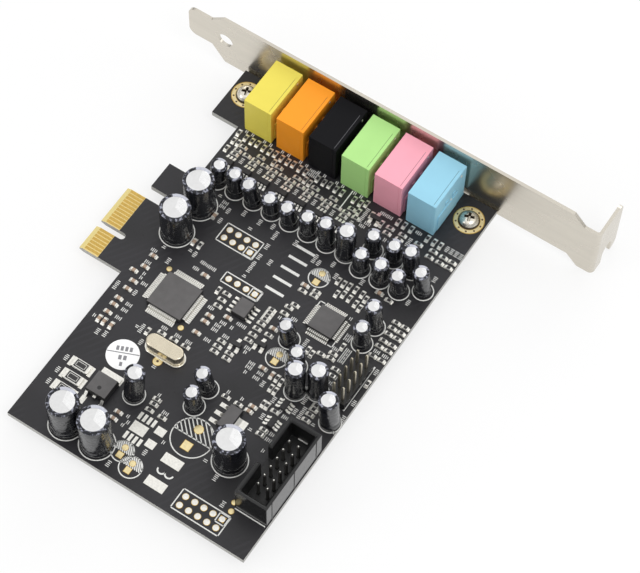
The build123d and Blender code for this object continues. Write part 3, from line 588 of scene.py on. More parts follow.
def solids(node):
    """The lowest and the highest corner of each separate solid of a node, and its middle."""
    return [bounds_of(corners) for corners in islands(node)]


def lies_along_y(low, high):
    """Whether a box is longer along Y than along X."""
    return high.y - low.y > high.x - low.x


def capacitor_seats(kind):
    """The middle of the foot, the axis, the radius and the height of each capacitor of a kind."""
    seats = []
    for corners in islands(kind + "_capacitors"):
        corners.sort(key=lambda p: p.z)
        half = len(corners) // 2
        foot = sum(corners[:half], Vector()) / half
        end = sum(corners[half:], Vector()) / (len(corners) - half)
        radius = max((p - foot).length for p in corners[:half])
        along = end - foot
        seats.append((foot / MM, along.normalized(), radius / MM, along.length / MM))
    return seats


def plated_holes():
    """The place of each bare plated hole, and whether its pad is square."""
    for first_x, first_y, count, rows, column, row in PAD_GRIDS:
        for i in range(count):
            for j in range(rows):
                yield first_x + PAD_PITCH * i, first_y - PAD_PITCH * j, (i, j) == (column, row)


def standing(x, y, turn=0.0, z=TOP):
    """A place on the board as a matrix, turned about Z by degrees."""
    return Matrix.Translation((x * MM, y * MM, z * MM)) @ Matrix.Rotation(math.radians(turn), 4, "Z")


# Modelling helpers
def soften(bm, width, segments=2, corner=ROUNDED_ANGLE):
    """Rounds the edges that are sharper than the corner angle."""
    sharp = [e for e in bm.edges if e.is_manifold and e.calc_face_angle() > math.radians(corner)]
    bmesh.ops.bevel(
        bm, geom=sharp, offset=width * MM, offset_type="OFFSET", affect="EDGES", segments=segments,
        profile=0.5, material=-1, clamp_overlap=True,
    )


def weigh_normals(mesh):
    """Smooth normals that follow the larger faces, so that flat sides stay flat beside rounded edges."""
    around = [[] for vertex in mesh.vertices]
    for polygon in mesh.polygons:
        for vertex in polygon.vertices:
            around[vertex].append((polygon.normal.copy(), polygon.area))
    limit = math.cos(math.radians(SMOOTH_ANGLE))
    normals = []
    for polygon in mesh.polygons:
        for vertex in polygon.vertices:
            total = Vector()
            for normal, area in around[vertex]:
                if normal.dot(polygon.normal) > limit:
                    total += normal * area
            normals.append(total.normalized() if total.length else polygon.normal.copy())
    mesh.normals_split_custom_set(normals)


def piece(name, bm, slot, *finishes, replaced=None):
    """Finishes a bmesh as a piece of the card, which may stand for a node."""
    mesh = bpy.data.meshes.new(name)
    bm.to_mesh(mesh)
    bm.free()
    for each in finishes:
        mesh.materials.append(each)
    mesh.shade_smooth()
    weigh_normals(mesh)
    obj = bpy.data.objects.new(name, mesh)
    bpy.context.collection.objects.link(obj)
    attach(obj, "root")
    if replaced:
        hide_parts(replaced)


def repaint(node, look):
    """Gives a node that keeps its own shape a better finish."""
    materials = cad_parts[node].data.materials
    materials.clear()
    materials.append(look)


def rounded(node, name, slot, look, width, segments=2, corner=ROUNDED_ANGLE):
    """A node's own form with rounded edges."""
    bm = merged(node)
    soften(bm, width, segments, corner)
    piece(name, bm, slot, look, replaced=node)


def chip_body(node, width, corner=MOULDED_ANGLE, dot=None):
    """A moulded chip body, matt on top, with painted shade down its sides. A dot has an x, a y and a radius.
    """
    bm = merged(node)
    soften(bm, width, 2, corner)
    if dot:
        top = box(node)[1].z
        Layer(top - 0.02, top + 0.012, bm=bm).disc(*dot)
    # Faces that do not look up take the darker finish: painted shade on the sides
    for face in bm.faces:
        face.normal_update()
        face.material_index = 0 if face.normal.z > 0.8 else 1
    piece(node + "_body", bm, "chip_epoxy", finish("chip_epoxy"), finish("dark_epoxy"), replaced=node)


def block(bm, matrix):
    """The corners of a new unit cube, stretched and placed by a matrix."""
    return bmesh.ops.create_cube(bm, size=1.0, matrix=matrix)["verts"]


def slab(bm, x, y, z, index=0):
    """A block between two values on each axis, in the finish of an index."""
    middle = Vector([(low + high) / 2 * MM for low, high in (x, y, z)])
    stretch = Vector([(high - low) * MM for low, high in (x, y, z)])
    verts = block(bm, Matrix.LocRotScale(middle, None, stretch))
    for face in {f for v in verts for f in v.link_faces}:
        face.material_index = index
    return verts


def lathe(bm, profile, steps):
    """Turns a profile of radii and heights about an upright axis into a closed round body."""
    verts = [bm.verts.new((radius * MM, 0.0, height * MM)) for radius, height in profile]
    edges = [bm.edges.new(pair) for pair in zip(verts, verts[1:])]
    bmesh.ops.spin(
        bm, geom=verts + edges, cent=(0, 0, 0), axis=(0, 0, 1), angle=math.tau, steps=steps, use_merge=True,
    )
    bmesh.ops.remove_doubles(bm, verts=bm.verts, dist=0.0005 * MM)
    bmesh.ops.recalc_face_normals(bm, faces=bm.faces)


def mould(make, *values):
    """A mesh to stamp, from a function that fills a bmesh by some values."""
    bm = bmesh.new()
    make(bm, *values)
    mesh = bpy.data.meshes.new("mould")
    bm.to_mesh(mesh)
    bm.free()
    return mesh


def stamp(bm, source, matrix):
    """Adds a copy of a mesh at a place."""
    copy = source.copy()
    copy.transform(matrix)
    bm.from_mesh(copy)
    bpy.data.meshes.remove(copy)


def turned(bm, profile, steps, x, y):
    """Adds a closed round body that stands at a place."""
    body = mould(lathe, profile, steps)
    stamp(bm, body, standing(x, y, z=0.0))
    bpy.data.meshes.remove(body)


class Layer:
    """Thin shapes between two heights, such as printed lines, pads and lands"""

    def __init__(self, low, high, width=None, bm=None):
        self.bm = bmesh.new() if bm is None else bm
        self.low = low
        self.high = high
        self.width = width

    def patch(self, x, y, rise=0.0):
        """A rectangle between two values on X and on Y."""
        slab(self.bm, x, y, (self.low, self.high + rise))

    def square(self, x, y, half, rise=0.0):
        """A square round a place."""
        self.patch((x - half, x + half), (y - half, y + half), rise)

    def disc(self, x, y, radius, rise=0.0, steps=20):
        """A round pad with a slightly domed top."""
        high = self.high + rise
        thick = high - self.low
        rim = [(0.0, self.low), (radius, self.low), (radius, high)]
        turned(self.bm, rim + [(radius * 0.8, high + thick * 0.3), (0.0, high + thick * 0.4)], steps, x, y)

    def ring(self, x, y, radius, width=None, rise=0.0, steps=40):
        """A flat ring."""
        half = (width or self.width) / 2
        inner = radius - half
        outer = radius + half
        high = self.high + rise
        profile = ((inner, self.low), (outer, self.low), (outer, high), (inner, high), (inner, self.low))
        turned(self.bm, profile, steps, x, y)

    def line(self, start, end, width=None):
        """A line between two places, with square ends."""
        width = width or self.width
        along = Vector(end) - Vector(start)
        middle = [(a + b) / 2 for a, b in zip(start, end)]
        stretch = ((along.length + width) * MM, width * MM, (self.high - self.low) * MM, 1.0)
        turn = math.degrees(math.atan2(along.y, along.x))
        block(self.bm, standing(*middle, turn, (self.low + self.high) / 2) @ Matrix.Diagonal(stretch))

    def frame(self, x, y):
        """Four lines round a rectangle."""
        corners = [(x[0], y[0]), (x[1], y[0]), (x[1], y[1]), (x[0], y[1])]
        for start, end in zip(corners, corners[1:] + corners[:1]):
            self.line(start, end)


def gull_lead(bm, height, reach, foot, width):
    """A lead that steps down from a chip's side to the board, pointing along +X."""
    thick = 0.15
    middle = height * 0.45
    knee = reach - foot
    outline = (
        (-0.1, middle), (knee * 0.7, middle), (knee, thick * 0.5), (reach, 0.0), (reach, thick),
        (knee + thick, thick * 1.4), (knee * 0.7 + thick, middle + thick), (-0.1, middle + thick),
    )
    face = bm.faces.new([bm.verts.new((x * MM, -width / 2 * MM, z * MM)) for x, z in outline])
    made = bmesh.ops.extrude_face_region(bm, geom=[face])
    moved = [v for v in made["geom"] if isinstance(v, bmesh.types.BMVert)]
    bmesh.ops.translate(bm, vec=(0.0, width * MM, 0.0), verts=moved)
    bmesh.ops.recalc_face_normals(bm, faces=bm.faces)


def lead_row(bm, lead, middle, half, count, pitch, turns):
    """Rows of one lead on the sides of a body that the turns name."""
    for turn in turns:
        for i in range(count):
            shift = Matrix.Translation((half * MM, (i - (count - 1) / 2) * pitch * MM, 0.0))
            stamp(bm, lead, standing(middle.x, middle.y, turn) @ shift)


class CardOperator:
    """What the card's operators share"""

    bl_options = {"REGISTER", "UNDO"}


class CARD_OT_stage(CardOperator, bpy.types.Operator):
    """Sets up the pale floor, the soft lamps and the camera"""

    bl_idname = "card.stage"
    bl_label = "Stage"

    def execute(self, context):
        self.floor(context)
        self.lamps(context)
        self.camera(context)
        context.scene.view_settings.view_transform = "Standard"
        return {"FINISHED"}

    def floor(self, context):
        """A wide floor under the card, which looks nearly white and keeps the card's shadow."""
        bm = bmesh.new()
        bmesh.ops.create_grid(bm, x_segments=1, y_segments=1, size=3.0)
        bmesh.ops.translate(bm, vec=(0.04, 0.0, CAD_BOX[0][2] - 0.05 * MM), verts=bm.verts)
        mesh = bpy.data.meshes.new("floor")
        bm.to_mesh(mesh)
        bm.free()
        obj = bpy.data.objects.new("floor", mesh)
        context.collection.objects.link(obj)
        work = Shading(bpy.data.materials.new("pale_floor"))
        work.fill(work.shader, Base_Color=(0.86, 0.86, 0.86, 1.0), Roughness=0.9, Specular_IOR_Level=0.0)
        rays = work.node("LightPath")
        seen = work.combine("ADD", rays["Is Camera Ray"], rays["Is Glossy Ray"])
        seen = work.combine("MINIMUM", work.combine("ADD", seen, rays["Is Transmission Ray"]), 1.0)
        glow = work.node("Emission", Strength=1.0)["Emission"]
        mix = work.tree.nodes.new("ShaderNodeMixShader")
        work.feed(mix.inputs, (work.combine("MULTIPLY", seen, 0.72), work.shader.outputs["BSDF"], glow))
        work.fill(work.tree.nodes["Material Output"], Surface=mix.outputs["Shader"])
        mesh.materials.append(work.owner)

    def lamps(self, context):
        """A white dome that dims towards the floor, and round lamps that face the card."""
        world = bpy.data.worlds.new("studio")
        dome = Shading(world, "Background")
        upward = dome.axes(dome.node("TexCoord")["Generated"])["Z"]
        level = dome.spread(upward, 0.3, 1.08, 0.0, 1.0)
        dome.fill(dome.shader, Color=(1.0, 1.0, 1.0, 1.0), Strength=level)
        context.scene.world = world
        for name, place, width, power in LAMPS:
            lamp = bpy.data.lights.new(name, "AREA")
            lamp.shape = "DISK"
            lamp.size = width
            lamp.energy = power
            obj = bpy.data.objects.new(name, lamp)
            obj.location = place
            obj.rotation_euler = (Vector(place) - LAMP_AIM).to_track_quat("Z", "Y").to_euler()
            context.collection.objects.link(obj)

    def camera(self, context):
        """The camera at the photograph's place and angle."""
        lens = bpy.data.cameras.new("camera")
        lens.sensor_width = CAMERA_SENSOR
        lens.lens = CAMERA_LENS
        lens.clip_start = 0.01
        obj = bpy.data.objects.new("camera", lens)
        azimuth = math.radians(CAMERA_AZIMUTH)
        elevation = math.radians(CAMERA_ELEVATION)
        level = math.cos(elevation)
        back = Vector((math.sin(azimuth) * level, -math.cos(azimuth) * level, math.sin(elevation)))
        facing = back.to_track_quat("Z", "Y").to_matrix().to_4x4()
        roll = Matrix.Rotation(math.radians(CAMERA_ROLL), 4, "Z")
        obj.matrix_world = Matrix.Translation(CAMERA_PLACE) @ facing @ roll
        context.collection.objects.link(obj)
        context.scene.camera = obj


class CARD_OT_board(CardOperator, bpy.types.Operator):
    """Gives the circuit board its lacquer and the edge contacts their gold"""

    bl_idname = "card.board"
    bl_label = "Board and contacts"

    def execute(self, context):
        repaint("circuit_board", board_lacquer())
        repaint("edge_contacts", finish("gold_plate"))
        return {"FINISHED"}


class CARD_OT_printing(CardOperator, bpy.types.Operator):
    """Prints rings, frames, lines and small reference bars on the board"""

    bl_idname = "card.printing"
    bl_label = "Printed marks"

    BOW_RADIUS = 1.05
    BOW_LINE = 0.4

    def execute(self, context):
        ink = Layer(TOP - 0.01, TOP + size("ink"), size("ink_line"))
        for kind, extra, pitch in CAPACITORS:
            for foot, axis, radius, height in capacitor_seats(kind):
                ink.ring(foot.x, foot.y, radius + extra)
        for x, y, radius, pad_x, pad_y in EMPTY_RINGS:
            ink.ring(x, y, radius)
            self.hatch(ink, x, y, radius, pitch=0.42)
        x, y, radius = LARGE_RING
        ink.ring(x, y, radius, steps=56)
        ink.line((x - radius, y), (x + radius, y))
        self.hatch(ink, x, y, radius, pitch=0.95)
        self.pad_frames(ink)
        for start, end in PRINTED_LINES:
            ink.line(start, end)
        for start, end, width in THICK_LINES:
            ink.line(start, end, width)
        bow = mould(self.bow, ink.low, ink.high)
        for x, y in BOWS:
            stamp(ink.bm, bow, standing(x, y, z=0.0))
        self.reference_marks(ink)
        piece("printed_marks", ink.bm, "solder_mask", finish("printed_ink"))
        return {"FINISHED"}

    def pad_frames(self, ink):
        """Frames round the rows of bare plated holes and round their square pads."""
        margin = 1.5
        for first_x, first_y, count, rows, column, row in PAD_GRIDS:
            right = first_x + PAD_PITCH * (count - 1)
            near = first_y - PAD_PITCH * (rows - 1)
            ink.frame((first_x - margin, right + margin), (near - margin, first_y + margin))
        half = PAD_PITCH / 2
        for x, y, is_square in plated_holes():
            if is_square:
                ink.frame((x - half, x + half), (y - half, y + half))

    def hatch(self, ink, x, y, radius, pitch):
        """Slanted lines over the far half of a ring."""
        count = int(radius / pitch)
        root = math.sqrt(2)
        for i in range(-count, count + 1):
            across = i * pitch
            reach = math.sqrt(radius ** 2 - across ** 2)
            far = min(across, reach)
            if far + reach > 0.3:
                start, end = [
                    (x + (across + along) / root, y + (across - along) / root) for along in (-reach, far)
                ]
                ink.line(start, end)

    def bow(self, bm, low, high):
        """The near half of a ring about the origin."""
        inner = self.BOW_LINE / 2 - self.BOW_RADIUS
        outer = -self.BOW_LINE / 2 - self.BOW_RADIUS
        corners = ((outer, low), (inner, low), (inner, high), (outer, high))
        section = [bm.verts.new((reach * MM, 0.0, z * MM)) for reach, z in corners]
        face = bm.faces.new(section)
        bmesh.ops.spin(
            bm, geom=section + list(face.edges) + [face], cent=(0, 0, 0), axis=(0, 0, 1), angle=math.pi,
            steps=12,
        )
        bmesh.ops.recalc_face_normals(bm, faces=bm.faces)

    def reference_marks(self, ink):
        """Plain bars where a board carries its reference marks."""
        for x, y, count in MARKS_ALONG_X:
            self.signs(ink, x, y, count)
        for x, y, count in MARKS_ALONG_Y:
            self.signs(ink, x, y, count, True)
        for low, high, middle in solids("mute_packs"):
            x, y, z = middle
            if y > 0.0:
                self.signs(ink, x + 2.6, y + 2.3, 2, True)
                self.signs(ink, x - 1.2, CHANNEL_SIGNS_Y, 1)
                self.signs(ink, x + 0.6, CHANNEL_SIGNS_Y, 1)

    def signs(self, ink, x, y, count, along_y=False):
        """A row of plain upright bars of two heights, two for each sign."""
        for i in range(2 * count):
            shift = (i - count + 0.5) * SIGN_PITCH
            half = SIGN_LOW if (i + int(x)) % 3 == 0 else SIGN_HIGH
            if along_y:
                ink.line((x + half, y + shift), (x - half, y + shift), SIGN_LINE)
            else:
                ink.line((x + shift, y - half), (x + shift, y + half), SIGN_LINE)


class CARD_OT_pads(CardOperator, bpy.types.Operator):
    """Lays the bare gold pads and tinned lands on the board"""

    bl_idname = "card.pads"
    bl_label = "Pads and lands"

    # The circle of small vias round each screw
    VIA_CIRCLE = 3.3
    VIA_COUNT = 10

    def execute(self, context):
        rims, pads, tin, vias = [Layer(TOP - 0.02, TOP + size("pad")) for i in range(4)]
        outer = size("pad_ring")
        inner = outer * SOLDERED
        for x, y, is_square in plated_holes():
            if is_square:
                rims.square(x, y, inner)
            else:
                rims.disc(x, y, outer)
            tin.disc(x, y, inner, 0.06)
        for x, y, radius, pad_x, pad_y in EMPTY_RINGS:
            self.square_pad(rims, pads, pad_x, pad_y, 0.74)
            self.round_pad(rims, pads, pad_x, 2 * y - pad_y, 0.72)
        self.round_pad(rims, pads, *LARGE_RING_PADS[0], 1.1)
        self.square_pad(rims, pads, *LARGE_RING_PADS[1], 1.1)
        for x, y, radius in ROUND_PADS:
            self.round_pad(rims, pads, x, y, radius)
        # The holes are dark discs of painted shade
        vias.disc(*HOLED_PAD, radius=0.36, rise=0.05, steps=14)
        for low, high, middle in solids("bracket_screws"):
            x, y, z = middle
            rims.ring(x, y, radius=3.2, width=1.5, steps=56)
            pads.ring(x, y, self.VIA_CIRCLE, width=0.9, rise=0.004, steps=56)
            for i in range(self.VIA_COUNT):
                angle = math.tau * i / self.VIA_COUNT
                across = self.VIA_CIRCLE * math.cos(angle)
                along = self.VIA_CIRCLE * math.sin(angle)
                vias.disc(x + across, y + along, radius=0.26, rise=0.01, steps=10)
        centre = box("memory_chip_leads")[2]
        for low, high, middle in solids("memory_chip_leads"):
            x = middle.x + math.copysign(0.35, middle.x - centre.x)
            tin.patch((x - 0.7, x + 0.7), (middle.y - 0.33, middle.y + 0.33))
        for lands, rise in ((LEAD_LANDS, 0.0), (TINNED_LANDS, 0.05)):
            for x0, x1, y0, y1 in lands:
                tin.patch((x0, x1), (y0, y1), rise)
        for y in SMALL_LANDS_Y:
            for x in SMALL_LANDS_X:
                tin.patch((x - 0.4, x + 0.4), (y - 1.0, y + 1.0), 0.03)
        piece("ring_vias", vias.bm, "gold", finish("via_hole"))
        piece("gold_pad_rims", rims.bm, "gold", finish("gold_plate"))
        piece("bare_gold_pads", pads.bm, "gold", finish("pad_gold"))
        piece("tinned_lands", tin.bm, "tinned_metal", finish("solder_tin"))
        return {"FINISHED"}

    def round_pad(self, rims, pads, x, y, radius):
        """A round bare pad, pale inside a darker rim."""
        rims.disc(x, y, radius + 0.1)
        pads.disc(x, y, radius, 0.03)

    def square_pad(self, rims, pads, x, y, half):
        """A square bare pad, pale inside a darker rim."""
        rims.square(x, y, half + 0.1)
        pads.square(x, y, half, 0.02)


class CARD_OT_bracket(CardOperator, bpy.types.Operator):
    """Rounds the bracket's sheet edges and gives it its plated finish"""

    bl_idname = "card.bracket"
    bl_label = "Bracket"

    def execute(self, context):
        rounded("bracket", "bracket_sheet", "bracket_steel", steel_sheet(), size("metal_edge"))
        return {"FINISHED"}


class CARD_OT_screws(CardOperator, bpy.types.Operator):
    """Makes the two domed cross-head screws with their threads"""

    bl_idname = "card.screws"
    bl_label = "Bracket screws"

    THREAD_PITCH = 0.5

    def execute(self, context):
        bm = bmesh.new()
        for low, high, middle in solids("bracket_screws"):
            self.screw(bm, middle.x, middle.y, low.z, high.z)
        looks = (finish("screw_steel"), finish("screw_shadow"))
        piece("cross_head_screws", bm, "screw_steel", *looks, replaced="bracket_screws")
        return {"FINISHED"}

    def screw(self, bm, x, y, low, high):
        """Adds one screw, with its cross recess cut and the places of painted shade marked."""
        bodies = (mould(turned, self.profile(low, high), 40, x, y), mould(self.cross, x, y, high))
        stock, cross = [bpy.data.objects.new("screw_stock", body) for body in bodies]
        for obj in (stock, cross):
            bpy.context.collection.objects.link(obj)
        cut = stock.modifiers.new("recess", "BOOLEAN")
        cut.operation = "DIFFERENCE"
        cut.solver = "EXACT"
        cut.use_self = True
        cut.object = cross
        result = bpy.data.meshes.new_from_object(stock.evaluated_get(bpy.context.evaluated_depsgraph_get()))
        for face in result.polygons:
            middle = face.center / MM
            reach = math.hypot(middle.x - x, middle.y - y)
            # Painted shade in the cross recess and on the flange under the head
            in_recess = 0.5 < reach < 1.8 and TOP < middle.z < high - 0.25
            on_flange = reach > 2.4 and middle.z > TOP
            face.material_index = 1 if in_recess or on_flange else 0
        bm.from_mesh(result)
        for obj in (stock, cross):
            bpy.data.objects.remove(obj)
        bpy.data.meshes.remove(result)

    def profile(self, low, high):
        """The domed head, the thread and the point of a screw, from the top down."""
        points = [
            (0.0, high), (1.1, high - 0.04), (1.75, high - 0.2), (2.2, high - 0.6), (2.5, high - 1.2),
            (2.75, TOP + 0.25), (2.7, TOP), (1.4, TOP),
        ]
        tip = low + 1.6
        for i in range(int((TOP - tip) / self.THREAD_PITCH)):
            z = TOP - self.THREAD_PITCH * i
            points += [(1.15, z - 0.1), (1.4, z - 0.25), (1.15, z - 0.4)]
        return points + [(1.1, tip), (0.25, low + 0.1), (0.0, low)]

    def cross(self, bm, x, y, high):
        """Two bars that narrow downwards, to cut the recess with."""
        over_screw = Matrix.Translation((-x * MM, -y * MM, 0.0))
        for turn in (20.0, 110.0):
            stretch = Matrix.Diagonal((3.5 * MM, 0.95 * MM, 1.9 * MM, 1.0))
            verts = block(bm, standing(x, y, turn, high - 0.15) @ stretch)
            deep = [v for v in verts if v.co.z < (high - 0.5) * MM]
            bmesh.ops.scale(bm, vec=(0.45, 0.45, 1.0), space=over_screw, verts=deep)


class CARD_OT_jacks(CardOperator, bpy.types.Operator):
    """Rounds the six coloured jacks and their covers, and adds their spring contacts"""

    bl_idname = "card.jacks"
    bl_label = "Audio jacks"

    def execute(self, context):
        edge = size("edge")
        springs = bmesh.new()
        for jack in JACKS:
            slot = jack + "_plastic"
            cover = jack + "_jack_cover"
            rounded(jack + "_jack", jack + "_housing", slot, finish(slot), edge)
            low, high, middle = box(cover)
            bm = merged(cover)
            side = (high.x - 0.05, high.x + 0.24)
            slab(bm, side, (low.y + 1.6, high.y - 2.2), (low.z + 0.4, middle.z))
            for back in (3.4, 6.6):
                slab(bm, side, (high.y - back - 1.2, high.y - back), (middle.z + 0.9, middle.z + 2.3))
            soften(bm, edge * 0.6)
            # A strip along the seam between housing and cover paints its shade, and on the black jack its
            # highlight
            seam = Layer(high.z - 0.1, high.z + 0.004, 0.13)
            seam.line((low.x, low.y + 0.7), (low.x, high.y - 0.7))
            piece(jack + "_jack_seam", seam.bm, slot, finish(jack + "_seam"))
            piece(jack + "_side_cover", bm, slot, finish(slot), replaced=cover)
            for back, drop in ((0.9, 1.3), (5.2, 6.4)):
                y = high.y - back
                z = high.z - drop
                slab(springs, (high.x - 0.1, high.x + 0.16), (y - 0.3, y + 0.3), (z - 0.35, z + 0.35))
        soften(springs, width=0.1, segments=1)
        piece("jack_springs", springs, "tinned_metal", finish("solder_tin"))
        repaint("jack_contacts", finish("solder_tin"))
        return {"FINISHED"}


class CARD_OT_capacitors(CardOperator, bpy.types.Operator):
    """Makes the sleeved capacitors with crimped groove, polarity band and bare end"""

    bl_idname = "card.capacitors"
    bl_label = "Capacitors"

    SLEEVE, END, BAND, BAND_DOWN, RIM, END_DULL = range(6)
    STEPS = 48
    # Where the dashes on the bands start and how long they are, as parts of the height
    DASHES = (0.36, 0.54, 0.72)
    DASH_LENGTH = 0.08
    # Half of the angle that the painted highlight sector, the band and its dashes take up, in degrees
    PAINTED_HIGHLIGHT_HALF = 60
    BAND_HALF = 34
    DASH_HALF = 12

    def execute(self, context):
        names = ("capacitor_sleeve", "capacitor_end", "polarity_band", "band_side")
        looks = [finish(name) for name in names] + [rim_with_painted_highlights(), finish("capacitor_end_dull")]
        for kind, extra, pitch in CAPACITORS:
            bm = bmesh.new()
            for foot, axis, radius, height in capacitor_seats(kind):
                body = mould(self.body, radius, height, size(kind + "_lip"))
                tilt = Vector((0.0, 0.0, 1.0)).rotation_difference(axis).to_matrix().to_4x4()
                stamp(bm, body, standing(*foot.xy, z=foot.z) @ tilt)
            name = kind + "_sleeved_capacitors"
            piece(name, bm, "capacitor_sleeve", *looks, replaced=kind + "_capacitors")
        return {"FINISHED"}

    def body(self, bm, radius, height, lip):
        """One capacitor that stands at the origin, with its faces' finishes marked."""
        depth = size("groove")
        groove = 0.17 * height
        profile = [
            (0.0, 0.02), (radius * 0.86, 0.02), (radius * 0.95, 0.1), (radius, 0.35),
            (radius, groove - 0.55), (radius - depth * 0.8, groove - 0.15), (radius - depth, groove),
            (radius - depth * 0.8, groove + 0.15), (radius, groove + 0.55),
        ]
        for start in self.DASHES:
            profile += [(radius, height * part) for part in (start, start + self.DASH_LENGTH)]
        profile += [
            (radius * 0.985, height - 0.28), (radius * 0.94, height - 0.08), (radius * 0.87, height),
            (radius - lip, height - 0.02), (radius - lip - 0.04, height - 0.14),
            (radius - lip - 0.12, height - 0.16), (0.0, height - 0.1),
        ]
        lathe(bm, profile, self.STEPS)
        for face in bm.faces:
            face.material_index = self.look(face.calc_center_median() / MM, radius, height, lip)

    def look(self, place, radius, height, lip):
        """Which finish a place on a capacitor has."""
        angle = math.degrees(math.atan2(place.y, place.x))
        from_band = abs(math.remainder(angle - BAND_SIDE, 360))
        # On the bare end a sector takes a painted highlight and the rest a dimmer copy
        if math.hypot(place.x, place.y) < radius - lip and place.z > height / 2:
            from_highlight = abs(math.remainder(angle - PAINTED_HIGHLIGHT_SECTOR, 360))
            return self.END if from_highlight < self.PAINTED_HIGHLIGHT_HALF else self.END_DULL
        if from_band < self.BAND_HALF and place.z > height - 0.3:
            return self.BAND
        # Down the side the band takes its darker copy, which paints the side's shade
        if from_band < self.BAND_HALF and place.z > 0.3:
            dashed = any(start < place.z / height < start + self.DASH_LENGTH for start in self.DASHES)
            return self.SLEEVE if dashed and from_band < self.DASH_HALF else self.BAND_DOWN
        # The rim round the end takes the finish with painted highlight flecks
        return self.RIM if place.z > height - 0.28 else self.SLEEVE


class CARD_OT_chips(CardOperator, bpy.types.Operator):
    """Makes the square chips and the memory chip with their leads and corner dots"""

    bl_idname = "card.chips"
    bl_label = "Chips"

    def execute(self, context):
        leads = bmesh.new()
        for node, count, width, reach in SQUARE_CHIPS:
            low, high, middle = box(node)
            across = high.x - low.x
            chip_body(node, 0.12, dot=(middle.x - 0.36 * across, middle.y + 0.36 * across, 0.5))
            lead = mould(gull_lead, high.z - TOP, reach, reach - 0.7, width)
            lead_row(leads, lead, middle, across / 2, count, LEAD_PITCH, (0, 90, 180, 270))
        piece("square_chip_leads", leads, "tinned_metal", finish("solder_tin"))
        low, high, middle = box("memory_chip")
        chip_body("memory_chip", 0.1, dot=(low.x + 0.9, high.y - 0.9, 0.35))
        repaint("memory_chip_leads", finish("solder_tin"))
        return {"FINISHED"}


class CARD_OT_packs(CardOperator, bpy.types.Operator):
    """Makes the six-legged packs and the transistors with their legs"""

    bl_idname = "card.packs"
    bl_label = "Packs and transistors"

    # How far the legs reach, and the part of them that lies on the board
    REACH = 1.25
    FOOT = 0.95

    def execute(self, context):
        for node, name in (("mute_packs", "mute_pack_bodies"), ("transistors", "transistor_bodies")):
            look = finish("dark_epoxy")
            rounded(node, name, "chip_epoxy", look, width=0.08, segments=1, corner=MOULDED_ANGLE)
        legs = bmesh.new()
        for low, high, middle in solids("mute_packs"):
            half = min(high.x - low.x, high.y - low.y) / 2
            lead = mould(gull_lead, high.z - TOP, self.REACH, self.FOOT, 0.56)
            turns = (0, 180) if lies_along_y(low, high) else (90, 270)
            lead_row(legs, lead, middle, half, count=3, pitch=0.95, turns=turns)
        for low, high, middle in solids("transistors"):
            half = (high.y - low.y) / 2
            lead = mould(gull_lead, high.z - TOP, self.REACH, self.FOOT, 0.9)
            for count, turn in ((2, 270), (1, 90)):
                lead_row(legs, lead, middle, half, count, pitch=1.9, turns=(turn,))
        piece("pack_legs", legs, "tinned_metal", finish("solder_tin"))
        return {"FINISHED"}


class CARD_OT_regulators(CardOperator, bpy.types.Operator):
    """Finishes the two voltage regulators, their heat tab and their legs"""

    bl_idname = "card.regulators"
    bl_label = "Regulators"

    def execute(self, context):
        tin = finish("solder_tin")
        low, high, middle = box("regulator")
        chip_body("regulator", width=0.14)
        dimple = Layer(high.z - 0.02, high.z + 0.003)
        y = low.y + 1.9
        dimple.ring(middle.x, y, radius=0.42, width=0.2, rise=0.007, steps=24)
        dimple.disc(middle.x, y, radius=0.36)
        piece("regulator_dimple", dimple.bm, "chip_epoxy", finish("dark_epoxy"))
        chip_body("small_regulator", width=0.12, corner=ROUNDED_ANGLE)
        stub = Layer(TOP + 0.75, TOP + 1.25)
        stub.patch((middle.x - 0.4, middle.x + 0.4), (low.y - 0.55, low.y + 0.2))
        piece("regulator_middle_stub", stub.bm, "tinned_metal", tin)
        for node in ("regulator_tab", "regulator_legs", "small_regulator_leads"):
            rounded(node, node + "_tinned", "tinned_metal", tin, width=0.06)
        return {"FINISHED"}


class CARD_OT_crystal(CardOperator, bpy.types.Operator):
    """Rounds the crystal's drawn can and its rim"""

    bl_idname = "card.crystal"
    bl_label = "Crystal"

    def execute(self, context):
        slot = "crystal_metal"
        rounded("crystal_can", "crystal_drawn_can", slot, finish(slot), width=0.4, segments=4)
        rounded("crystal_base", "crystal_rim", slot, finish("crystal_rim"), width=0.15)
        return {"FINISHED"}


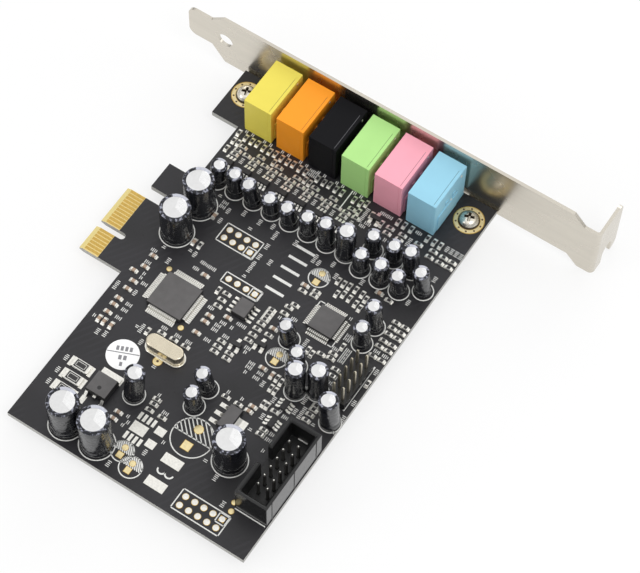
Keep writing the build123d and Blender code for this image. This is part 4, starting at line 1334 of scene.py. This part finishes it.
class CARD_OT_headers(CardOperator, bpy.types.Operator):
    """Finishes the box header, the pin strip and their pins"""

    bl_idname = "card.headers"
    bl_label = "Headers"

    def execute(self, context):
        plastic = finish("header_plastic")
        low, high, middle = box("box_header_shroud")
        bm = merged("box_header_shroud")
        self.lead_in(bm, middle, high.z)
        soften(bm, width=0.15)
        looks = (plastic, finish("header_inside"))
        piece("box_header_housing", bm, "header_plastic", *looks, replaced="box_header_shroud")
        rounded("pin_header_base", "pin_strip", "header_plastic", plastic, width=0.14)
        ribs = bmesh.new()
        for part in (0.1, 0.5, 0.9):
            y = low.y + (high.y - low.y) * part
            slab(ribs, (high.x - 0.05, high.x + 0.12), (y - 0.12, y + 0.12), (low.z + 0.1, high.z - 0.4))
        bar = ((high.x - 5.7, high.x - 3.1), (high.y - 1.5, high.y - 1.1), (low.z + 1.8, low.z + 2.6))
        slab(ribs, *bar, 1)
        piece("box_header_ribs", ribs, "header_plastic", plastic, finish("printed_ink"))
        plate = pin_plate(box("box_header_pins")[1].z - 0.5)
        for node, look in (("box_header_pins", plate), ("pin_header_pins", finish("header_pin"))):
            rounded(node, node + "_plated", "gold", look, width=0.05, segments=1)
        return {"FINISHED"}

    def lead_in(self, bm, middle, top):
        """Slopes the inner edges of the shroud's rim and marks the faces that look inwards for painted
        shade.
        """
        bm.normal_update()
        inner = set()
        for face in bm.faces:
            centre = face.calc_center_median() / MM
            inwards = Vector((middle.x - centre.x, middle.y - centre.y))
            beside = abs(face.normal.z) < 0.1 and inwards.dot(face.normal.xy) > 0.0
            if beside or (face.normal.z > 0.9 and centre.z < top - 2.0):
                inner.add(face)
                face.material_index = 1
        on_top = [e for e in bm.edges if all(abs(v.co.z / MM - top) < 0.01 for v in e.verts)]
        rim = [e for e in on_top if inner & set(e.link_faces)]
        slopes = bmesh.ops.bevel(
            bm, geom=rim, offset=0.55 * MM, offset_type="OFFSET", affect="EDGES", segments=1,
            profile=0.5, material=-1,
        )
        for face in slopes["faces"]:
            face.material_index = 1


class CARD_OT_chip_parts(CardOperator, bpy.types.Operator):
    """Lays out the chip resistors and chip capacitors with their tinned ends and solder"""

    bl_idname = "card.chip_parts"
    bl_label = "Chip parts"

    TINNED, FILM, CERAMIC, ALUMINA = range(4)

    def execute(self, context):
        looks = [finish(name) for name in ("solder_tin", "resistor_film", "chip_ceramic", "chip_alumina")]
        resistor = mould(self.chip, True)
        capacitor = mould(self.chip, False)
        for kind, source, slot in (
            ("channel_chip", resistor, "resistor_film"), ("edge_chip", capacitor, "chip_ceramic"),
        ):
            bm = bmesh.new()
            for low, high, middle in solids(kind + "s"):
                turn = 90.0 if lies_along_y(low, high) else 0.0
                stamp(bm, source, standing(middle.x, middle.y, turn))
            piece(kind + "_parts", bm, slot, *looks, replaced=kind + "s")
        bm = bmesh.new()
        for source, places, turn in (
            (resistor, RESISTORS_ALONG_X, 0.0), (resistor, RESISTORS_ALONG_Y, 90.0),
            (capacitor, CAPACITORS_ALONG_X, 0.0), (capacitor, CAPACITORS_ALONG_Y, 90.0),
        ):
            for x, y in places:
                stamp(bm, source, standing(x, y, turn))
        piece("other_chip_parts", bm, "resistor_film", *looks)
        return {"FINISHED"}

    def chip(self, bm, is_resistor):
        """A chip part along X: a body between two tinned ends, on two lands with solder."""
        half_l = size("chip_l") / 2
        half_w = size("chip_w") / 2
        thick = size("chip_t")
        inner = half_l - 0.34
        index = self.ALUMINA if is_resistor else self.CERAMIC
        slab(bm, (-inner, inner), (-half_w, half_w), (0.0, thick), index)
        if is_resistor:
            glass = half_w - 0.05
            slab(bm, (-inner, inner), (-glass, glass), (thick * 0.9, thick + 0.02), self.FILM)
        for side in (-1, 1):
            end, land, solder = [
                sorted((side * near, side * far))
                for near, far in ((inner, half_l), (inner, half_l + 0.36), (half_l, half_l + 0.26))
            ]
            slab(bm, end, (-half_w * 1.05, half_w * 1.05), (0.0, thick * 1.06))
            slab(bm, land, (-half_w * 1.16, half_w * 1.16), (-0.02, 0.06))
            for vert in slab(bm, solder, (-half_w, half_w), (0.0, thick * 0.6)):
                if abs(vert.co.x) > (half_l + 0.1) * MM and vert.co.z > 0.0:
                    vert.co.z = 0.09 * MM


class CARD_OT_power_resistors(CardOperator, bpy.types.Operator):
    """Finishes the three power resistors and their tinned ends"""

    bl_idname = "card.power_resistors"
    bl_label = "Power resistors"

    def execute(self, context):
        alumina = finish("power_resistor_alumina")
        tin = finish("solder_tin")
        for node, name, slot, look in (
            ("power_resistors", "power_resistor_bodies", "resistor_film", alumina),
            ("power_resistor_terminals", "power_resistor_ends", "tinned_metal", tin),
        ):
            rounded(node, name, slot, look, width=0.05, segments=1)
        glass = bmesh.new()
        frames = bmesh.new()
        lands = Layer(TOP - 0.02, TOP + 0.08)
        for low, high, middle in solids("power_resistors"):
            top = (high.z - 0.05, high.z + 0.03)
            slab(glass, (low.x + 0.15, high.x - 0.15), (low.y + 0.24, high.y - 0.24), top)
            rules = Layer(high.z, high.z + 0.035, 0.12, frames)
            rules.frame((low.x + 0.55, high.x - 0.55), (low.y + 0.62, high.y - 0.62))
            for x in ((low.x - 1.5, low.x - 0.5), (high.x + 0.5, high.x + 1.5)):
                lands.patch(x, (low.y - 0.12, high.y + 0.12))
        piece("power_resistor_glass", glass, "resistor_film", finish("power_resistor_glass"))
        piece("power_resistor_frames", frames, "resistor_film", alumina)
        piece("power_resistor_lands", lands.bm, "tinned_metal", tin)
        return {"FINISHED"}


class CARD_OT_sticker(CardOperator, bpy.types.Operator):
    """Sticks the round paper label with plain ruled bars on the board"""

    bl_idname = "card.sticker"
    bl_label = "Sticker"

    def execute(self, context):
        low = TOP - 0.01
        high = TOP + 0.09
        bm = bmesh.new()
        profile = ((0.0, low), (4.06, low), (4.1, high - 0.02), (4.05, high), (0.0, high))
        turned(bm, profile, 64, *STICKER_PLACE)
        for left, right, near, far in STICKER_BARS:
            bar = mould(slab, (left, right), (near, far), (high - 0.01, high + 0.01), 1)
            stamp(bm, bar, standing(*STICKER_PLACE, STICKER_TURN, 0.0))
        piece("round_sticker", bm, "solder_mask", finish("sticker_paper"), finish("sticker_print"))
        return {"FINISHED"}


class CARD_OT_underside(CardOperator, bpy.types.Operator):
    """Adds the solder joints and lead tails under the board"""

    bl_idname = "card.underside"
    bl_label = "Solder under the board"

    # How far the crystal's leads are from its middle
    CRYSTAL_LEADS = 2.44

    def execute(self, context):
        bm = bmesh.new()
        for kind, extra, pitch in CAPACITORS:
            for foot, axis, radius, height in capacitor_seats(kind):
                for side in (-pitch / 2, pitch / 2):
                    self.joint(bm, foot.x, foot.y + side, lead=0.28, drop=1.4)
        for node in ("box_header_pins", "pin_header_pins", "jack_contacts"):
            for low, high, middle in solids(node):
                self.joint(bm, middle.x, middle.y, lead=0.3, drop=0.9)
        low, high, middle = box("crystal_can")
        for side in (-self.CRYSTAL_LEADS, self.CRYSTAL_LEADS):
            x, y = (0.0, side) if lies_along_y(low, high) else (side, 0.0)
            self.joint(bm, middle.x + x, middle.y + y, lead=0.22, drop=0.8)
        piece("solder_joints", bm, "tinned_metal", finish("solder_tin"))
        self.open_pads()
        self.header_frames()
        return {"FINISHED"}

    def joint(self, bm, x, y, lead, drop):
        """A solder foot round a lead's tail."""
        foot = size("solder")
        profile = [
            (0.0, -0.01), (foot, -0.01), (foot * 0.95, 0.06), (foot * 0.62, 0.28), (lead * 1.25, 0.72),
            (lead, 0.8), (lead * 0.9, drop), (0.0, drop + 0.05),
        ]
        turned(bm, [(radius, UNDER - depth) for radius, depth in profile], 14, x, y)

    def open_pads(self):
        """The far ends of the empty plated holes."""
        rims, tin = [Layer(UNDER + 0.01, UNDER - size("pad")) for i in range(2)]
        rim = size("pad_ring")
        holes = [(x, y, rim, rim * SOLDERED, 0.06) for x, y, is_square in plated_holes()]
        for x, y, radius, pad_x, pad_y in EMPTY_RINGS:
            holes += [(pad_x, place, 0.8, 0.5, 0.05) for place in (pad_y, 2 * y - pad_y)]
        holes += [(x, y, 1.2, 0.8, 0.05) for x, y in LARGE_RING_PADS]
        for x, y, outer, inner, drop in holes:
            rims.disc(x, y, outer)
            tin.disc(x, y, inner, -drop)
        piece("under_pad_rims", rims.bm, "gold", finish("gold_plate"))
        piece("under_pad_solder", tin.bm, "tinned_metal", finish("solder_tin"))

    def header_frames(self):
        """Printed frames round the headers' pins, and rings round the empty footprints, under the board."""
        ink = Layer(UNDER - size("ink"), UNDER + 0.01, size("ink_line"))
        margin = 1.0
        for node in ("box_header_pins", "pin_header_pins"):
            low, high, middle = box(node)
            ink.frame((low.x - margin, high.x + margin), (low.y - margin, high.y + margin))
        for x, y, radius, pad_x, pad_y in EMPTY_RINGS:
            ink.ring(x, y, radius)
        piece("under_marks", ink.bm, "solder_mask", finish("printed_ink"))


OPERATORS = (
    CARD_OT_stage, CARD_OT_board, CARD_OT_printing, CARD_OT_pads, CARD_OT_bracket, CARD_OT_screws,
    CARD_OT_jacks, CARD_OT_capacitors, CARD_OT_chips, CARD_OT_packs, CARD_OT_regulators, CARD_OT_crystal,
    CARD_OT_headers, CARD_OT_chip_parts, CARD_OT_power_resistors, CARD_OT_sticker, CARD_OT_underside,
)


class CARD_PT_looks(bpy.types.Panel):
    """Lists the steps that dress the sound card"""

    bl_idname = "CARD_PT_looks"
    bl_label = "Sound card"
    bl_space_type = "VIEW_3D"
    bl_region_type = "UI"
    bl_category = "Sound card"

    def draw(self, context):
        for operator in OPERATORS:
            self.layout.operator(operator.bl_idname)
        for group in (context.scene.card_colours, context.scene.card_sizes):
            column = self.layout.box()
            for name in group.__annotations__:
                column.prop(group, name)


CLASSES = (CardColours, CardSizes, *OPERATORS, CARD_PT_looks)


def register():
    """Adds the classes and the scene's properties to Blender."""
    for each in CLASSES:
        bpy.utils.register_class(each)
    bpy.types.Scene.card_colours = PointerProperty(type=CardColours)
    bpy.types.Scene.card_sizes = PointerProperty(type=CardSizes)


def unregister():
    """Takes them out again."""
    del bpy.types.Scene.card_sizes
    del bpy.types.Scene.card_colours
    for each in reversed(CLASSES):
        bpy.utils.unregister_class(each)


def main():
    """Runs the operators in order."""
    register()
    for operator in OPERATORS:
        group, name = operator.bl_idname.split(".")
        getattr(getattr(bpy.ops, group), name)()


if __name__ == "__main__":
    main()
